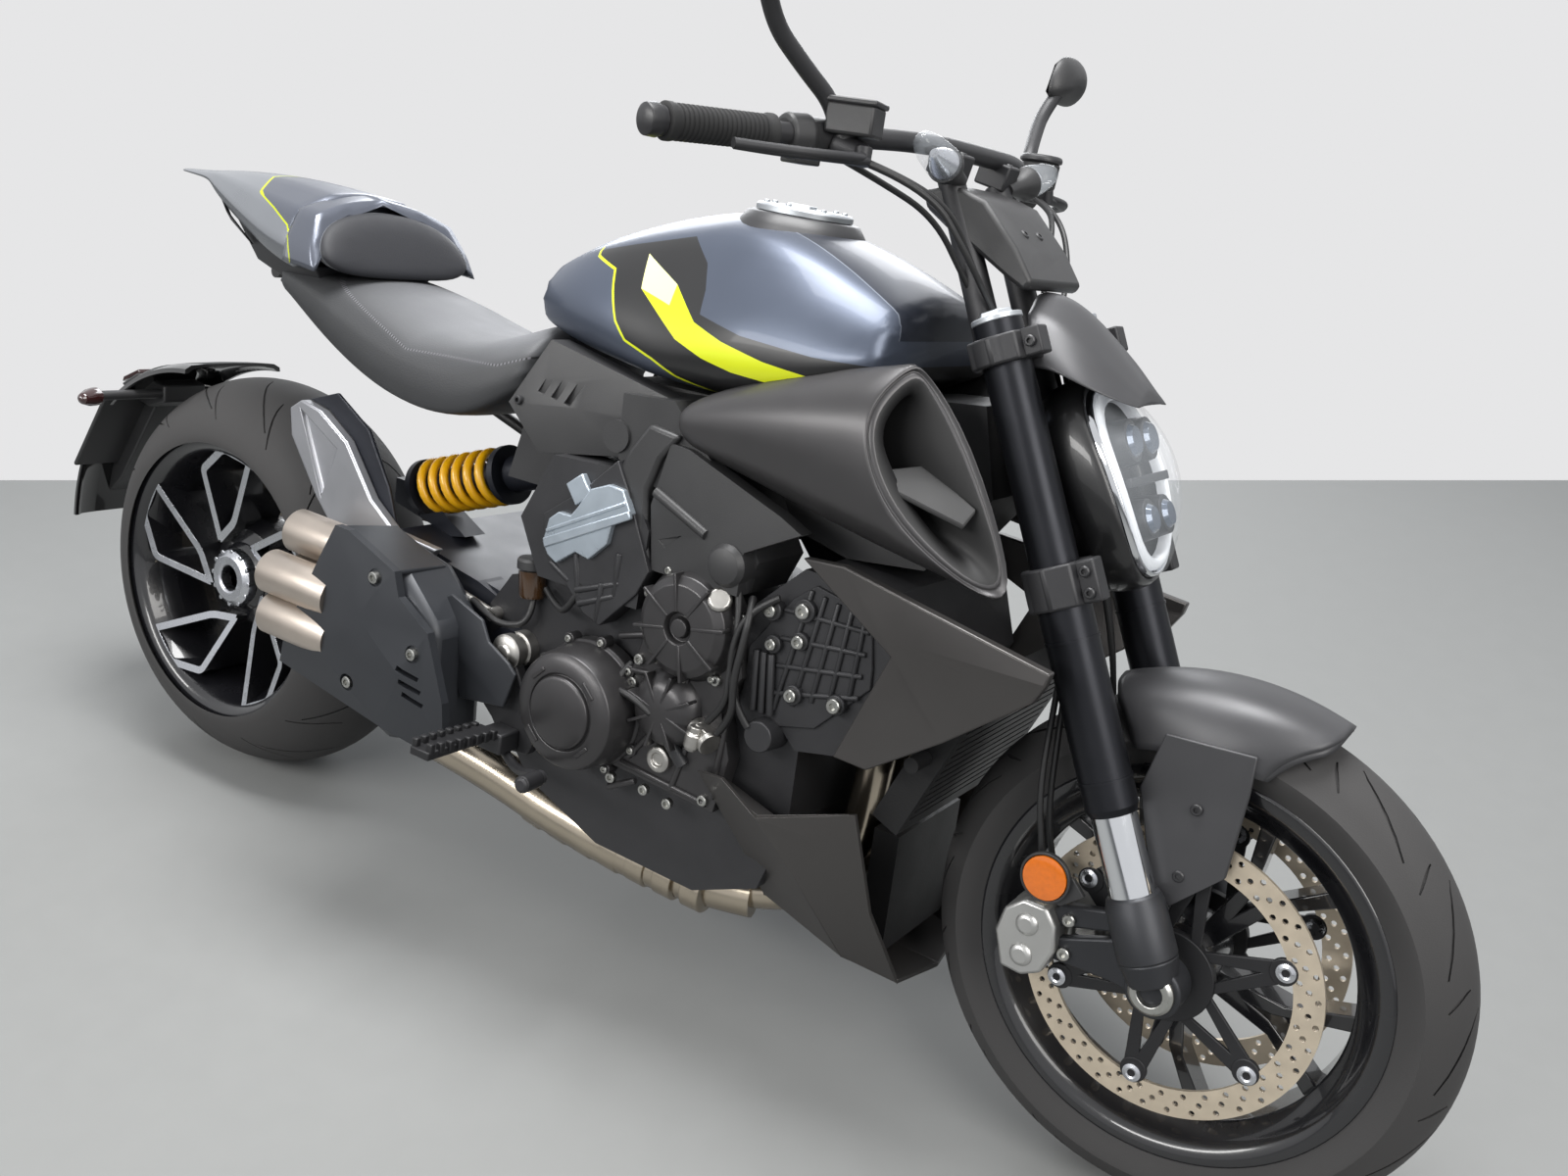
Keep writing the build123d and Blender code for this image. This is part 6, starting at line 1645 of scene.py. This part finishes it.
panel(heel, [(587, -196, 470), (608, -196, 482), (671, -200, 464), (689, -204, 440), (729, -206, 422),
             (742, -206, 411), (726, -206, 361), (645, -202, 348), (610, -198, 412), (672, -210, 410)],
      [(0, 1, 9, 8), (1, 2, 3, 9), (3, 4, 9), (4, 5, 6, 9), (6, 7, 8, 9)], (0, 5, 0))
put("heel_guard", heel, "chassis", cover_matt, bevel=1.6, crease_angle=14)


# The rear damper lies forward over the swingarm with a yellow coil spring. The arm's right side
# carries a satin silver guard with a recessed triangle, and the chain runs on the left.
arm_black = plain("arm_satin", paint(33, 35, 42), metallic=0.4, roughness=0.4, drift=0.1, patch=0.08,
                  grain=0.15, grain_size=0.001)
spring_yellow = plain("spring_yellow", paint(226, 168, 12), roughness=0.32, coat=0.4, drift=0.08, patch=0.02)
chain_steel = plain("chain_steel", paint(96, 90, 82), metallic=0.95, roughness=0.38, drift=0.2, patch=0.006,
                    grain=0.3, grain_size=0.002)
guard_silver = plain("guard_silver", paint(160, 161, 165), metallic=0.85, roughness=0.4, drift=0.06,
                     patch=0.1, grain=0.2, grain_size=0.0009)
dress(arm_black, "swingarm", "shock_damper", "side_stand")
dress(chain_steel, "drive_chain", "rear_sprocket")
SHOCK_Y = -48
SPRING_R = 36
COIL_TURNS = 6
low = Vector((372, SHOCK_Y, 556))
run = (Vector((742, SHOCK_Y, 686)) - low).normalized()
across = Vector((0, 1, 0))
lift = run.cross(across)
route = []
for n in range(COIL_TURNS * 12 + 1):
    turn = 2 * pi * n / 12
    along = 42 + 140 * n / (COIL_TURNS * 12)
    route.append(low + run * along + (across * cos(turn) + lift * sin(turn)) * (SPRING_R + 1.2))
pipe("shock_spring", [route], 6.6, "chassis", spring_yellow, ["shock_spring"], steps=2)
GUARD = [(210, 652), (216, 612), (276, 534), (305, 506), (370, 498), (495, 481), (527, 516), (443, 522),
         (392, 556), (334, 627), (276, 660), (234, 668)]
guard = bmesh.new()
slab(guard, GUARD, -151, -134)
recess = bmesh.new()
slab(recess, [(236, 652), (314, 612), (288, 540)], -170, -144)
guard = cut(guard, recess)
put("swingarm_guard", guard, "chassis", guard_silver, ["swingarm_guard"], bevel=3.0)
inner_guard = bmesh.new()
INNER_GUARD = [(232, 668), (290, 688), (360, 648), (408, 576), (430, 520), (380, 560), (330, 628), (276, 660)]
panel(inner_guard, [(x, -134, z) for x, z in INNER_GUARD], [(0, 1, 7), (1, 2, 6, 7), (2, 3, 5, 6), (3, 4, 5)],
      (0, 6, 0))
put("inner_guard", inner_guard, "chassis", arm_black, bevel=1.5)
linkage = bmesh.new()
bar(linkage, (543, -150, 478), (652, -158, 461), 5, sides=20)
for x, z in ((543, 478), (652, 461)):
    bar(linkage, (x, -140, z), (x, -166, z), 9)
spun(linkage, (706, -150, 428), (706, -196, 428), [(0, 24), (16, 24), (18, 21), (24, 21), (26, 24), (38, 24),
                                                   (41, 21), (43, 12), (46, 10)], 40)
put("pivot_fittings", linkage, "chassis", alloy, crease_angle=35)
fluid = plain("fluid_reservoir", paint(62, 42, 24), roughness=0.12, coat=0.8, drift=0.2)
tank_cup, lid = bmesh.new(), bmesh.new()
spun(tank_cup, (716, -158, 502), (712, -158, 542), [(0, 16), (4, 18), (36, 19)], 32)
spun(lid, (712, -158, 540), (711, -158, 558), [(0, 21), (12, 21), (15, 18)], 24)
put("rear_reservoir", tank_cup, "chassis", fluid, crease_angle=40)
put("rear_reservoir_lid", lid, "chassis", moulded, bevel=1.0)
pipe("rear_brake_hose", [[(718, -158, 500), (724, -168, 470), (690, -176, 458), (660, -176, 462),
                          (600, -150, 470), (540, -140, 470)],
                         [(740, -160, 520), (780, -176, 500), (800, -180, 520), (812, -178, 545)]], 4.5,
     "chassis", hose_black)

# Behind the tyre: a narrow glossy guard, the bracket with a blank plate, the lamp and two stalk
# indicators.
gloss_black = plain("gloss_black", paint(12, 12, 13), roughness=0.16, coat=0.9, drift=0.1, patch=0.2)
HUGGER = Vector((-100, 0, 318))
hugger = bmesh.new()
outside = [(92, 321), (91, 328), (80, 334), (50, 336), (0, 337)]
inside = [(0, 332), (48, 331), (76, 328), (86, 321)]
far_side = [(-y, r) for y, r in outside[-2::-1] + inside[:0:-1]]
turned(hugger, outside + far_side + inside, HUGGER, steps=30, arc=radians(84), closed=True)
bmesh.ops.holes_fill(hugger, edges=hugger.edges)
bmesh.ops.transform(hugger, matrix=spin_about(HUGGER, -88), verts=hugger.verts)
put("rear_hugger", hugger, "chassis", gloss_black, ["rear_hugger"])
pipe("hugger_arm", [[(-66, 146, 380), (-120, 150, 430), (-160, 146, 500), (-236, 116, 556), (-300, 60, 588),
                     (-310, 20, 590)]], 8.5, "chassis", gloss_black)
holder = bmesh.new()
slab(holder, [(-326, 592), (-292, 597), (-284, 566), (-392, 398), (-436, 360), (-448, 372), (-440, 388)], -25,
     25)
slab(holder, [(-324, 562), (-318, 558), (-402, 424), (-408, 428)], -106, 106)
slab(holder, [(-374, 574), (-330, 600), (-286, 598), (-252, 592), (-250, 564), (-292, 548), (-342, 556)], -40,
     40)
bar(holder, (-262, -170, 577), (-262, 170, 577), 8)
put("plate_holder", holder, "chassis", moulded, ["plate_holder"], bevel=3.0)
plate_white = plain("blank_plate", paint(206, 207, 205), roughness=0.4, drift=0.04)
plate = bmesh.new()
slab(plate, [(-327, 560), (-325, 562), (-409, 428), (-411, 426)], -100, 100)
put("blank_plate", plate, "chassis", plate_white, bevel=0.5)
smoked = plain("smoked_lens", paint(44, 16, 16), roughness=0.1, coat=1.0, drift=0.2)
lamps = bmesh.new()
slab(lamps, [(-378, 576), (-374, 586), (-332, 606), (-328, 600)], -36, 36)
for side in (-1, 1):
    spun(lamps, (-262, side * 152, 577), (-240, side * 196, 577),
         [(0, 9), (8, 15), (26, 14), (44, 9), (49, 3)])
put("rear_lamps", lamps, "chassis", smoked, bevel=1.5)

# The footrests fold on cast hangers: serrated treads, a brake pedal on the right and a gear lever on
# the left.
pegs, hangers = bmesh.new(), bmesh.new()
for side in (-1, 1):
    slab(hangers, [(640, 400), (664, 424), (716, 424), (772, 332), (756, 298), (716, 294), (690, 330),
                   (640, 372)], side * 168, side * 186)
    block(hangers, (722, side * 204, 316), (40, 36, 28))
    for n in range(8):
        out = 222 + 15 * n
        wide = 17 - 0.18 * (n - 2) ** 2
        for edge in (-1, 1):
            block(pegs, (716 + edge * wide, side * (out + 4), 330 + 0.06 * (out - 222)), (9, 8, 14))
    slab(pegs, [(700, 322), (732, 322), (732, 333), (700, 333)], side * 216, side * 338)
    bar(hangers, (852, side * 262, 324), (856, side * 306, 326), 9, sides=20)
    bar(pegs, (852, side * 270, 324), (856, side * 304, 326), 11, sides=12)
put("foot_hangers", hangers, "chassis", clamp_black, ["foot_controls"], bevel=3.0)
put("foot_treads", pegs, "chassis", carrier_black, bevel=1.5)
pipe("foot_levers", both_sides([(726, 196, 300), (750, 206, 290), (790, 226, 296), (830, 250, 316),
                                (854, 268, 324)]),
     6.5, "chassis", clamp_black)
